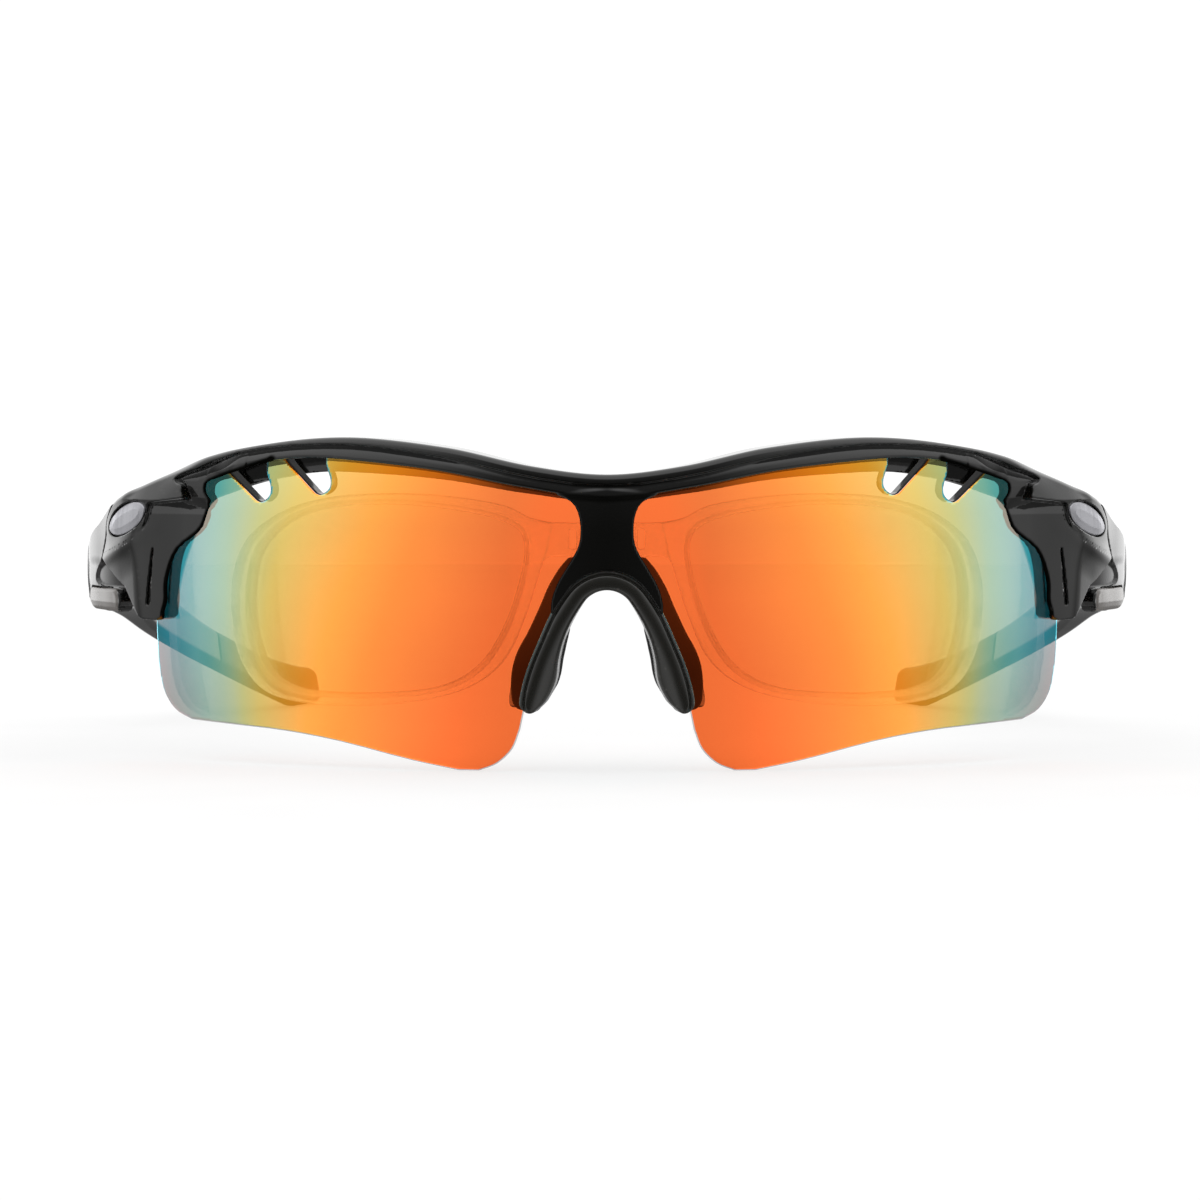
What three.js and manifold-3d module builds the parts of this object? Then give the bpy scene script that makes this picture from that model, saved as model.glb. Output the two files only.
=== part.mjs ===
// Wraparound sport sunglasses: a half-rim front carries one shield lens, a clip-in prescription
// insert sits behind it, and two temples fold on vertical screws.
//
// Frame: +X is the wearer's left, +Y runs back from the front to the temple tips, +Z is up and z = 0 is
// the table that the open glasses stand on. Millimetres. The origin is the bottom centre of the whole.
//
// Most pieces are drawn on the wrap surface, a wall that follows the front and then the temples:
//   s  distance along the wall from the middle of the front
//   z  height above the table
//   n  distance out from the lens's front face, negative towards the wearer
// wrapPoint() turns (s, z, n) into (x, y, z).
import * as THREE from "three";
import { mergeVertices } from "three/addons/utils/BufferGeometryUtils.js";
import { TessellateModifier } from "three/addons/modifiers/TessellateModifier.js";
import Module from "manifold-3d";

const wasm = await Module();
wasm.setup();

// ---- driving dimensions ----------------------------------------------------------------------
const FRONT_RADIUS = 85; // horizontal radius of the lens
const FRONT_ANGLE = THREE.MathUtils.degToRad(47.6); // half the lens's wrap
const CORNER_RADIUS = 30; // where the front turns into the temple
const TEMPLE_RADIUS = 280; // inward bow of the temple
const RISE_RADIUS = 120; // vertical radius of the lens
const RISE_CENTRE = 25; // height of the lens's foremost line
const FRONT_TO_ORIGIN = 74.95; // from the lens's front face, at the middle, back to the origin

const LENS_THICKNESS = 2.0;
const CLEARANCE = 0.3; // round a piece that another piece is cut for
const PIVOT = { x: 67.5, y: 44 }; // hinge axis, y from the lens's front face
const SCREW_RADIUS = 0.75;
const BARREL_RADIUS = 2.3;
const TIP_END = 200; // s at the end of the temple
const SLEEVE_START = 158; // s where the soft temple tip begins

const BLACK_GLOSS = { color: 0x0b0b0a, roughness: 0.12, metalness: 0 };
const BLACK_RUBBER = { color: 0x151515, roughness: 0.6, metalness: 0 };
const STEEL = { color: 0xb9bcc4, roughness: 0.25, metalness: 1 };
const BRASS = { color: 0xb08d4f, roughness: 0.35, metalness: 1 };
const MIRROR_LENS = { color: 0xf08a3c, roughness: 0.05, metalness: 0.6 };
const CLEAR_PLASTIC = { color: 0xe9ecea, roughness: 0.1, metalness: 0 };

// ---- the wrap surface ------------------------------------------------------------------------
const frontEnd = FRONT_RADIUS * FRONT_ANGLE;
const cornerEnd = frontEnd + CORNER_RADIUS * (Math.PI / 2 - FRONT_ANGLE);
const cornerStart = {
  x: FRONT_RADIUS * Math.sin(FRONT_ANGLE),
  y: FRONT_RADIUS * (1 - Math.cos(FRONT_ANGLE)),
};
const templeStart = {
  x: cornerStart.x + CORNER_RADIUS * (1 - Math.sin(FRONT_ANGLE)),
  y: cornerStart.y + CORNER_RADIUS * Math.cos(FRONT_ANGLE),
};

// The wall's plan curve: three tangent arcs. angle is its direction, from +X towards +Y.
function wallAt(s) {
  const d = Math.abs(s);
  if (d <= frontEnd) {
    const angle = d / FRONT_RADIUS;
    const y = FRONT_RADIUS * (1 - Math.cos(angle));
    return { x: FRONT_RADIUS * Math.sin(angle), y, angle };
  }
  if (d <= cornerEnd) {
    const angle = FRONT_ANGLE + (d - frontEnd) / CORNER_RADIUS;
    const x = cornerStart.x + CORNER_RADIUS * (Math.sin(angle) - Math.sin(FRONT_ANGLE));
    const y = cornerStart.y + CORNER_RADIUS * (Math.cos(FRONT_ANGLE) - Math.cos(angle));
    return { x, y, angle };
  }
  const angle = Math.PI / 2 + (d - cornerEnd) / TEMPLE_RADIUS;
  const x = templeStart.x - TEMPLE_RADIUS * (1 - Math.sin(angle));
  return { x, y: templeStart.y - TEMPLE_RADIUS * Math.cos(angle), angle };
}

function wrapPoint(s, z, n) {
  const { x, y, angle } = wallAt(s);
  const out = n - (z - RISE_CENTRE) ** 2 / (2 * RISE_RADIUS);
  const side = s < 0 ? -1 : 1;
  return [side * (x + out * Math.sin(angle)), y - out * Math.cos(angle), z];
}

// ---- tools -----------------------------------------------------------------------------------
// Six times the volume inside the triangles, negative when they face inwards.
function signedVolume(vertices, triangles) {
  const corner = (i) => new THREE.Vector3().fromArray(vertices, 3 * triangles[i]);
  let total = 0;
  for (let i = 0; i < triangles.length; i += 3) {
    total += corner(i).dot(corner(i + 1).cross(corner(i + 2)));
  }
  return total;
}

function toSolid(geometry) {
  const bare = geometry.index ? geometry.toNonIndexed() : geometry.clone();
  bare.deleteAttribute("normal");
  bare.deleteAttribute("uv");
  const merged = mergeVertices(bare, 1e-3);
  const vertProperties = merged.attributes.position.array;
  const triVerts = new Uint32Array(merged.index.array);
  if (signedVolume(vertProperties, triVerts) < 0) {
    triVerts.reverse();
  }
  return new wasm.Manifold(new wasm.Mesh({ numProp: 3, vertProperties, triVerts }));
}

function toGeometry(solid) {
  const { vertProperties, triVerts } = solid.getMesh();
  const geometry = new THREE.BufferGeometry();
  geometry.setAttribute("position", new THREE.BufferAttribute(vertProperties, 3));
  geometry.setIndex(new THREE.BufferAttribute(triVerts, 1));
  geometry.computeVertexNormals();
  return geometry;
}

const join = (first, ...rest) => rest.reduce((all, next) => all.add(next), first);
const cut = (from, ...tools) => tools.reduce((left, tool) => left.subtract(tool), from);

// Moves each vertex (s, z, n) of a geometry onto the wrap surface.
function wrapGeometry(geometry) {
  const position = geometry.attributes.position;
  for (let i = 0; i < position.count; i++) {
    const point = wrapPoint(position.getX(i), position.getY(i), position.getZ(i));
    position.setXYZ(i, ...point);
  }
  return geometry;
}

// A plate with an (s, z) outline, from depth nBack to nFront, bent onto the wrap surface.
function plate(outline, nBack, nFront, edge = 12) {
  const shape = new THREE.Shape(outline.map(([s, z]) => new THREE.Vector2(s, z)));
  const flat = new THREE.ExtrudeGeometry(shape, { depth: nFront - nBack, bevelEnabled: false });
  flat.translate(0, 0, nBack);
  const fine = new TessellateModifier(edge, 24).modify(flat);
  return toSolid(wrapGeometry(fine));
}

// A closed skin through rings of [x, y, z] points, with flat ends. outline is a ring drawn flat.
function skin(rings, outline) {
  const size = rings[0].length;
  const last = (rings.length - 1) * size;
  const index = [];
  for (let r = 0; r + 1 < rings.length; r++) {
    for (let k = 0; k < size; k++) {
      const a = r * size + k;
      const b = r * size + ((k + 1) % size);
      index.push(a, b, b + size, a, b + size, a + size);
    }
  }
  const corners = outline.map(([x, y]) => new THREE.Vector2(x, y));
  const clockwise = THREE.ShapeUtils.area(corners) < 0;
  for (const [a, b, c] of THREE.ShapeUtils.triangulateShape(corners, [])) {
    const [p, q] = clockwise ? [c, b] : [b, c];
    index.push(a, q, p, last + a, last + p, last + q);
  }
  const geometry = new THREE.BufferGeometry();
  geometry.setAttribute("position", new THREE.Float32BufferAttribute(rings.flat(2), 3));
  geometry.setIndex(index);
  return toSolid(geometry);
}

// A closed skin through rings of [s, z, n] points on the wrap surface.
function loft(rings) {
  const bent = rings.map((ring) => ring.map(([s, z, n]) => wrapPoint(s, z, n)));
  return skin(bent, rings[0].map(([, z, n]) => [z, n]));
}

// A smooth height over s through a few knots [s, value].
function curve(knots) {
  const slope = (i) => {
    const [s0, v0] = knots[Math.max(i - 1, 0)];
    const [s1, v1] = knots[Math.min(i + 1, knots.length - 1)];
    return (v1 - v0) / (s1 - s0);
  };
  return (at) => {
    const s = THREE.MathUtils.clamp(Math.abs(at), knots[0][0], knots.at(-1)[0]);
    const i = Math.min(knots.findLastIndex(([k]) => k <= s), knots.length - 2);
    const [s0, v0] = knots[i];
    const [s1, v1] = knots[i + 1];
    const w = s1 - s0;
    const t = (s - s0) / w;
    const keep = (1 + 2 * t) * (1 - t) ** 2;
    return (
      keep * v0 + (1 - keep) * v1 + w * t * (1 - t) * ((1 - t) * slope(i) - t * slope(i + 1))
    );
  };
}

// Points of a smooth line through a few corners.
function smoothLine(corners, count) {
  const line = new THREE.SplineCurve(corners.map(([s, z]) => new THREE.Vector2(s, z)));
  return line.getSpacedPoints(count).map((p) => [p.x, p.y]);
}

const mirrored = (points) => points.map(([s, z]) => [-s, z]).reverse();

// The outline moved outwards by a distance, for the room that a neighbour needs.
function grow(outline, distance) {
  const count = outline.length;
  const turn = Math.sign(THREE.ShapeUtils.area(outline.map(([x, y]) => ({ x, y }))));
  return outline.map(([s, z], i) => {
    const [s0, z0] = outline[(i + count - 1) % count];
    const [s1, z1] = outline[(i + 1) % count];
    const length = Math.hypot(s1 - s0, z1 - z0);
    return [s + (turn * distance * (z1 - z0)) / length, z - (turn * distance * (s1 - s0)) / length];
  });
}

function steps(from, to, count) {
  return Array.from({ length: count + 1 }, (_, i) => from + ((to - from) * i) / count);
}

// A straight round post on a vertical axis.
function post(radius, x, y, zLow, zHigh, sides = 16) {
  const geometry = new THREE.CylinderGeometry(radius, radius, zHigh - zLow, sides);
  geometry.rotateX(Math.PI / 2);
  geometry.translate(x, y, (zLow + zHigh) / 2);
  return toSolid(geometry);
}

// An upright bar of a given width between two plan points.
function bar(x0, y0, x1, y1, width, zLow, zHigh) {
  const length = Math.hypot(x1 - x0, y1 - y0);
  const geometry = new THREE.BoxGeometry(length, width, zHigh - zLow);
  geometry.rotateZ(Math.atan2(y1 - y0, x1 - x0));
  geometry.translate((x0 + x1) / 2, (y0 + y1) / 2, (zLow + zHigh) / 2);
  return toSolid(geometry);
}

function block(xSize, y0, y1, zLow, zHigh) {
  const geometry = new THREE.BoxGeometry(xSize, y1 - y0, zHigh - zLow);
  geometry.translate(0, (y0 + y1) / 2, (zLow + zHigh) / 2);
  return toSolid(geometry);
}

// ---- heights of the front along s ------------------------------------------------------------
const browTop = curve([[0, 40.2], [10, 41.3], [22, 43.8], [37, 45.1], [52.8, 43.6], [64.5, 40.9], [77, 36.6]]);
const browLip = curve([[0, 36.6], [11.5, 38.1], [22.5, 40.2], [34, 41.5], [43, 41.9], [52.3, 40.8], [62, 38.4]]);
const browBackLip = (s) => browLip(s) - THREE.MathUtils.clamp(0.4 + Math.abs(s) / 30, 0.4, 1.9);
const LENS_BITE = 1.5; // how far the lens reaches up into the brow

// ---- lens ------------------------------------------------------------------------------------
const NOSE_EDGE = [[0, 26.4], [3, 25.2], [5, 23.3], [7, 19.9], [9.1, 15.2], [10.5, 11.1], [11.2, 9]];

function lensHalfOutline() {
  const noseEdge = smoothLine([...NOSE_EDGE, [12, 5.7]], 14);
  const noseCorner = smoothLine([[12, 5.7], [13.2, 3], [15.4, 1], [18, 0]], 6);
  const sweep = smoothLine([[21, 0], [27.7, 1.2], [38.5, 3.5], [47.6, 4.7], [56.1, 5.2], [65.2, 5.6]], 9);
  const outerCorner = smoothLine([[65.2, 5.6], [68.6, 6.9], [70.7, 9.6], [71.3, 13.5]], 5);
  const outerEdge = smoothLine([[71.3, 13.5], [71, 21], [69.6, 29], [66, 35.6]], 7);
  const top = steps(62, 0, 12).map((s) => [s, browLip(s) + LENS_BITE]);
  const pieces = [noseEdge, noseCorner.slice(1), sweep, outerCorner.slice(1), outerEdge.slice(1), top];
  return pieces.flat();
}

function lensOutline() {
  const half = lensHalfOutline();
  return [...half, ...mirrored(half.slice(1, -1))];
}

// A slanted air vent cut down into the lens from its top edge: a straight flank and a round nose.
function vent(s, z, reach) {
  const nose = smoothLine([[s + 1, z + 0.2], [s + 0.2, z], [s - 0.9, z + 0.7], [s - 1.1, z + 1.9], [s - 0.2, z + 4]], 8);
  const mouth = [[s, z + 8], [s + reach + 3.4, z + 8], [s + reach, z + 4.2]];
  return plate([...nose, ...mouth].reverse(), -LENS_THICKNESS - 1, 1);
}
const VENTS = [
  { s: 40.6, z: 37.3, reach: 5.7 },
  { s: 50.4, z: 36.2, reach: 6.6 },
];

function makeLens() {
  const vents = VENTS.map(({ s, z, reach }) => vent(s, z, reach));
  const both = vents.flatMap((v) => [v, flipX(v)]);
  return cut(plate(lensOutline(), -LENS_THICKNESS, 0, 10), ...both);
}

// The mirror image across x = 0.
function flipX(solid) {
  return toSolid(toGeometry(solid).scale(-1, 1, 1));
}

// ---- front frame -----------------------------------------------------------------------------
const FRONT_N = 2.8; // the lug's outer face
const LUG_BACK = -3.6;

function brow() {
  const section = (s) => {
    const top = browTop(s);
    const lip = browLip(s);
    const crease = top - 1.5;
    const back = browBackLip(s);
    const ring = [
      [0.2, lip], [1.5, lip], [2.1, lip + 0.5], [2.2, crease - 0.1], [2.6, crease + 0.3],
      [2.1, top - 0.4], [0.9, top], [-2.4, top], [-3.8, top - 0.6], [-4.3, top - 1.6],
      [-4.2, back + 0.4], [-3.7, back], [-2.2, back],
    ];
    return ring.map(([n, z]) => [s, z, n]);
  };
  return loft(steps(-63, 63, 24).map(section));
}

// The frame's end: a broad lug with a jaw that reaches down the lens's outer edge.
function lugOutline(mouth) {
  const top = steps(60, 76.5, 5).map((s) => [s, browTop(s)]);
  const seam = smoothLine([[78.4, 35.3], [80.2, 33], [80.2, 30.6], [81.2, 27.8]], 5);
  const jaw = [[79.8, 26.4], [77, 24.6], [75.2, 23.8], [73.6, 21.7], [72, 19.6]];
  return [...top, ...seam, ...jaw, ...mouth].reverse();
}

const frontMouth = [
  [67.4, 20.6], ...smoothLine([[66.7, 22.3], [66.5, 25.1], [64.6, 29], [60.2, 32], [58.4, 35.2]], 6),
  [59.6, 36.6], [59.2, 38.6],
];
const backMouth = smoothLine([[71.2, 21.6], [70.6, 23.4], [68.6, 27.8], [66.4, 31.6], [63.8, 35.2], [60.4, 37.4]], 6);

const HINGE_Z = { low: 21.2, eye: 24.4, high: 27.8, top: 30.8 }; // lower knuckle, temple eye, upper knuckle

// Two knuckles on arms that run back from the lug under the temple's outer wall.
function knuckles() {
  const [rootX, rootY] = wrapPoint(73, 25, -1.8);
  const arms = [
    [HINGE_Z.low, HINGE_Z.eye - CLEARANCE],
    [HINGE_Z.high, HINGE_Z.top],
  ].map(([low, high]) =>
    join(
      post(BARREL_RADIUS, PIVOT.x, PIVOT.y, low, high),
      bar(rootX, rootY, PIVOT.x, PIVOT.y, 2.8, low, high),
    ),
  );
  const rootOutline = [[72.5, 20.6], [77.4, 20.9], [78.6, 25], [78.6, 31.2], [73, 31.2]];
  return join(arms[0], arms[1], plate(rootOutline, LUG_BACK, -0.4));
}

const BADGE = { s: 74.8, z: 33.4, length: 9.3, height: 4, tilt: THREE.MathUtils.degToRad(-19) };

function badgeOutline(margin) {
  const across = new THREE.EllipseCurve(
    0, 0, BADGE.length / 2 + margin, BADGE.height / 2 + margin, 0, 2 * Math.PI, false, BADGE.tilt,
  );
  return across.getPoints(28).slice(0, -1).map((p) => [BADGE.s + p.x, BADGE.z + p.y]);
}

// The stem comes down in front of the lens, and its boss carries the insert behind it.
function stem() {
  const half = [
    [1.8, 27.4], [3.8, 26.5], [5.1, 27.2], [5, 28.2], [3.6, 29.4], [3.4, 32.7], [3.8, 36], [4.2, 39],
  ];
  const outline = [...half, ...mirrored(half)];
  const boss = block(BOSS.width, -BOSS.front, BOSS.back, BOSS.low, BOSS.high);
  const rearPad = plate([[-3.2, 28.9], [3.2, 28.9], [3.2, 38.6], [-3.2, 38.6]], -4.4, -LENS_THICKNESS);
  return join(plate(outline, 0.1, 2.2), rearPad, boss);
}
const BOSS = { width: 6, front: -3, back: 10.4, low: 30.2, high: 32.2 };

function makeFrontFrame(lensRoom) {
  const jaw = plate(lugOutline([[68.8, 19.4], ...frontMouth]), -1, FRONT_N);
  const lug = join(jaw, plate(lugOutline(backMouth), LUG_BACK, 0), knuckles());
  const badgePocket = plate(badgeOutline(CLEARANCE), 1.9, 6);
  const screwHole = post(SCREW_RADIUS + 0.1, PIVOT.x, PIVOT.y, 15, 40);
  const insertSeat = post(THREAD_SLEEVE.radius + 0.15, PIVOT.x, PIVOT.y, HINGE_Z.low - 1, THREAD_SLEEVE.high + 0.1);
  const lugRight = cut(lug, badgePocket, screwHole, insertSeat);
  return cut(join(brow(), stem(), lugRight, flipX(lugRight)), lensRoom);
}

// ---- hinge fasteners -------------------------------------------------------------------------
const THREAD_SLEEVE = { radius: 1.35, low: HINGE_Z.low, high: HINGE_Z.eye - CLEARANCE - 0.5 };
const HEAD = { radius: 1.6, low: HINGE_Z.top + 0.2, high: HINGE_Z.top + 1.1 };

function makeScrew() {
  const shaft = post(SCREW_RADIUS, PIVOT.x, PIVOT.y, HINGE_Z.low, HEAD.low + 0.1, 20);
  const head = post(HEAD.radius, PIVOT.x, PIVOT.y, HEAD.low, HEAD.high);
  const slot = bar(PIVOT.x - 3, PIVOT.y, PIVOT.x + 3, PIVOT.y, 0.4, HEAD.high - 0.45, HEAD.high + 1);
  return cut(join(shaft, head), slot);
}

function makeThreadSleeve() {
  const { radius, low, high } = THREAD_SLEEVE;
  const bore = post(SCREW_RADIUS + 0.1, PIVOT.x, PIVOT.y, low - 1, high + 1);
  return cut(post(radius, PIVOT.x, PIVOT.y, low, high), bore);
}

// ---- temples ---------------------------------------------------------------------------------
const templeTop = curve([
  [82, 34.1], [84.3, 32.5], [88, 30.8], [93, 29.5], [111, 25], [123, 22.2], [140, 18.5], [155, 14.7],
  [167, 11.9], [181, 8.6], [193, 6.4], [TIP_END, 5.6],
]);
const templeBottom = curve([
  [82, 20.2], [90, 20.6], [97, 20], [102, 19.3], [111, 17.8], [123, 15.3], [140, 11.9], [155, 8.7],
  [167, 5.9], [181, 2.4], [190, 0], [191, 0], [TIP_END, 0],
]);
const templeOuter = curve([[82, 3], [87, 3.8], [92, 3.8], [97, 3.4], [111, 2.2], [125, 1.8], [TIP_END, 1.8]]);
const templeInner = curve([[92, -5], [102, -3.6], [111, -2.6], [125, -2.1], [TIP_END, -2.1]]);

// A temple section: an eight-sided ring, brought in by inset on every side.
function templeRing(s, inset = 0) {
  const [low, high] = [templeBottom(s) + inset, templeTop(s) - inset];
  const [inner, outer] = [templeInner(s) + inset, templeOuter(s) - inset];
  const side = (outer - inner) * 0.22;
  const rim = (high - low) * 0.2;
  const ring = [
    [outer, low + rim], [outer, high - rim], [outer - side, high], [inner + side, high],
    [inner, high - rim], [inner, low + rim], [inner + side, low], [outer - side, low],
  ];
  return ring.map(([n, z]) => [s, z, n]);
}

// The temple's front wall closes on the lug along the seam. Below the seam a scoop shows the hinge, and
// under the scoop a lobe reaches forward and carries the hinge cap.
function templeCheek() {
  const seam = smoothLine([[78.8, 35.6], [80.7, 33.1], [80.7, 30.7], [81.8, 27.8]], 5);
  const scoop = [[83.6, 26.4], [84.2, 24.9], [82.6, 23.9], [79, 23.7], [76.3, 23.4], [75.8, 21.6], [77, 20.2]];
  const outline = [...seam, ...scoop, [88, 20.6], [94, 20], [94, 29], [88, 30.6], [83, 33.2]];
  const bulge = loft(steps(84, 94, 5).map((s) => {
    const [low, high] = [templeBottom(s), templeTop(s)];
    const out = templeOuter(s);
    const ring = [[0.5, low], [2.6, low], [out, low + 2], [out, high - 2], [2.6, high], [0.5, high]];
    return ring.map(([n, z]) => [s, z, n]);
  }));
  return join(plate(outline.reverse(), 0.5, 3), bulge);
}

const CAP = { s0: 76.6, s1: 84.6, z0: 20.75, z1: 23.05 };

function capOutline(margin) {
  const [s0, s1] = [CAP.s0 - margin, CAP.s1 + margin];
  const [z0, z1] = [CAP.z0 - margin, CAP.z1 + margin];
  const r = 0.9 + margin;
  return [
    [s0, z0 + r], [s0 + r * 0.3, z0 + r * 0.3], [s0 + r, z0], [s1 - r, z0], [s1 - r * 0.3, z0 + r * 0.3],
    [s1, z0 + r], [s1, z1 - r], [s1 - r * 0.3, z1 - r * 0.3], [s1 - r, z1], [s0 + r, z1],
    [s0 + r * 0.3, z1 - r * 0.3], [s0, z1 - r],
  ];
}

const SPIGOT_INSET = 1.05;
const SPIGOT_END = TIP_END - 8;

function templeArm() {
  const body = loft(steps(92, SLEEVE_START, 12).map((s) => templeRing(s)));
  const spigot = loft(steps(SLEEVE_START - 2, SPIGOT_END, 6).map((s) => templeRing(s, SPIGOT_INSET)));
  const [backX, backY] = wrapPoint(95, 25, -2);
  const eye = join(
    post(BARREL_RADIUS, PIVOT.x, PIVOT.y, HINGE_Z.eye, HINGE_Z.high - CLEARANCE),
    bar(PIVOT.x, PIVOT.y, backX, backY, 3, HINGE_Z.eye, HINGE_Z.high - CLEARANCE),
  );
  const bore = post(SCREW_RADIUS + 0.1, PIVOT.x, PIVOT.y, 15, 40);
  const capPocket = plate(capOutline(0.25), 1.7, 5, 6);
  return cut(join(body, spigot, templeCheek(), eye), bore, capPocket);
}

function makeTempleTip() {
  const end = TIP_END - 1.5;
  const rings = steps(SLEEVE_START + CLEARANCE, end, 9).map((s) => templeRing(s));
  rings.push(templeRing(TIP_END, 0.9));
  const pocket = steps(SLEEVE_START - 1, SPIGOT_END + 0.5, 6).map((s) => templeRing(s, SPIGOT_INSET - 0.25));
  return cut(loft(rings), loft(pocket));
}

// ---- nose piece ------------------------------------------------------------------------------
// The nose arch follows the lens's nose edge.
const archLine = new THREE.SplineCurve(NOSE_EDGE.map(([s, z]) => new THREE.Vector2(s, z)));

// The arch at t from -1 (left end) over the top to 1 (right end).
function archFrame(t) {
  const at = Math.abs(t);
  const point = archLine.getPointAt(at);
  const along = at === 0 ? new THREE.Vector2(1, 0) : archLine.getTangentAt(at);
  const side = t < 0 ? -1 : 1;
  return { s: side * point.x, z: point.y, outS: -side * along.y, outZ: along.x };
}

// Sweeps a section of [out, n] pairs along the arch. profile(t) may change along it.
function sweepArch(t0, t1, count, profile) {
  const ring = (t) => {
    const f = archFrame(t);
    return profile(t).map(([out, n]) => wrapPoint(f.s + out * f.outS, f.z + out * f.outZ, n));
  };
  const rings = steps(t0, t1, count).map(ring);
  return skin(rings, profile(t0));
}

const gripReach = curve([[0, 1.8], [0.5, 2.1], [0.8, 2.9], [1, 2]]);
const WING = { start: 0.36, end: 0.97, nRoot: -3.2, nEdge: -10.4, splay: 4.6 };

// A hard U that grips the lens's nose edge in a groove and carries a wing on each side.
function makeNoseCarrier() {
  const grip = sweepArch(-1, 1, 20, (t) => {
    const reach = gripReach(Math.abs(t));
    return [
      [0.6, 0.3], [0.6, 1], [0, 1.8], [-reach + 1, 2], [-reach, 1.1], [-reach - 0.1, -1], [-reach + 0.2, -4],
      [-0.5, -4], [0.5, -3.4], [0.5, -2.35], [-0.35, -2.35], [-0.35, 0.3],
    ];
  });
  const wing = sweepArch(WING.start, WING.end, 8, () => [
    [-1.4, WING.nRoot - 0.6], [WING.splay - 1.3, WING.nEdge], [WING.splay - 0.3, WING.nEdge], [-0.2, WING.nRoot],
  ]);
  return join(grip, wing, flipX(wing));
}

// A soft pad on the nose side of each wing.
function makeNosePad() {
  return sweepArch(WING.start - 0.04, 0.99, 10, () => [
    [-1.5, -4.3], [WING.splay - 1.7, WING.nEdge - 0.1], [WING.splay - 0.2, WING.nEdge - 0.35],
    [WING.splay + 0.6, -11.8], [WING.splay + 0.2, -13], [WING.splay - 1, -12.9], [-2.2, -6.2], [-2.4, -4.3],
  ]);
}

// ---- prescription insert ---------------------------------------------------------------------
const INSERT = { nFront: -6.9, nBack: -9.5, groove: 0.8, lensFront: -7.75, lensBack: -8.65 };

function rimOuter() {
  return smoothLine([
    [9.5, 33.2], [16.3, 35.9], [26, 37.1], [36, 37.3], [45, 36.6], [53, 34.6], [59.4, 31], [62.4, 26],
    [63, 20], [61.4, 13.8], [57, 9.6], [49, 8.1], [39, 8], [29, 8.9], [21, 11], [15.6, 14.8], [12.3, 20.9], [9.6, 28.4],
  ], 32);
}

function rimInner() {
  const corners = [
    [14.6, 33.2], [21, 34.8], [32, 35.8], [44, 35.3], [52, 33.2], [57.6, 29.2], [59.4, 24], [59, 18],
    [56.8, 12.8], [51.5, 10.3], [44, 9.8], [35, 10], [26, 11], [19.8, 13.8], [15.8, 18.8], [13.2, 25.2], [12.4, 30.6],
  ];
  return smoothLine([...corners, corners[0]], 28).slice(0, -1);
}

function makeInsertFrame() {
  const outer = plate([...rimOuter()].reverse(), INSERT.nBack, INSERT.nFront);
  const hole = plate([...rimInner()].reverse(), INSERT.nBack - 1, INSERT.nFront + 1);
  const groove = plate(grow([...rimInner()].reverse(), INSERT.groove), INSERT.lensBack - 0.25, INSERT.lensFront + 0.25);
  const rim = cut(outer, hole, groove);
  const half = [[0, 28.9], [8, 28.9], [11.4, 27.9], [11.4, 33.8], [8, 33.5], [0, 33.4]];
  const bridge = plate([...half, ...mirrored(half.slice(1, -1))], INSERT.nBack + 0.4, INSERT.nFront, 6);
  const window = block(BOSS.width + 0.6, 0, 20, BOSS.low - CLEARANCE, BOSS.high + CLEARANCE);
  const flexSlot = plate([[4.6, 29.9], [5.7, 29.9], [5.7, 32.6], [4.6, 32.6]], -20, 0, 6);
  return cut(join(bridge, rim, flipX(rim)), window, flexSlot, flipX(flexSlot));
}

function makeInsertLens() {
  return plate(grow([...rimInner()].reverse(), INSERT.groove - CLEARANCE), INSERT.lensBack, INSERT.lensFront);
}

// ---- assembly --------------------------------------------------------------------------------
const model = new THREE.Group();
const glasses = new THREE.Group();
glasses.position.y = -FRONT_TO_ORIGIN;
model.add(glasses);

function addPiece(name, solid, finish, side = 1) {
  const piece = new THREE.Mesh(toGeometry(solid), new THREE.MeshStandardMaterial(finish));
  piece.name = name;
  piece.scale.x = side;
  glasses.add(piece);
}

// The wearer's left is +X, and each left piece has its mirror image on the right.
function addPair(name, solid, finish) {
  addPiece(name + "_left", solid, finish, 1);
  addPiece(name + "_right", solid, finish, -1);
}

const lensRoom = plate(grow(lensOutline(), CLEARANCE), -LENS_THICKNESS - CLEARANCE, CLEARANCE, 10);
const lens = makeLens();
const noseCarrier = makeNoseCarrier();

addPiece("front_frame", makeFrontFrame(lensRoom), BLACK_GLOSS);
addPiece("shield_lens", lens, MIRROR_LENS);
addPiece("nose_carrier", noseCarrier, BLACK_GLOSS);
addPiece("insert_frame", makeInsertFrame(), CLEAR_PLASTIC);
addPair("insert_lens", makeInsertLens(), CLEAR_PLASTIC);
addPair("nose_pad", makeNosePad(), BLACK_RUBBER);
addPair("badge", plate(badgeOutline(0), 2.2, 3, 6), STEEL);
addPair("hinge_screw", makeScrew(), STEEL);
addPair("thread_sleeve", makeThreadSleeve(), BRASS);
addPair("temple_arm", templeArm(), BLACK_GLOSS);
addPair("temple_tip", makeTempleTip(), BLACK_RUBBER);
addPair("hinge_cap", plate(capOutline(0), 2, 3.1, 6), BLACK_GLOSS);

export default model;
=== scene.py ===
"""Wraparound sport sunglasses: the visible surfaces, materials, light and camera.

Each piece is a smooth distance field, negative inside, turned into a quad mesh by surface nets.
Most fields are drawn on the wrap surface of the CAD, in millimetres:
  s  distance along the wall from the middle of the front, positive on the wearer's left
  z  height above the table
  n  distance out from the lens's front face, negative towards the wearer
The hinge parts are drawn in plain x, y, z, with y measured back from the lens's front face.
"""
import math

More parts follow.
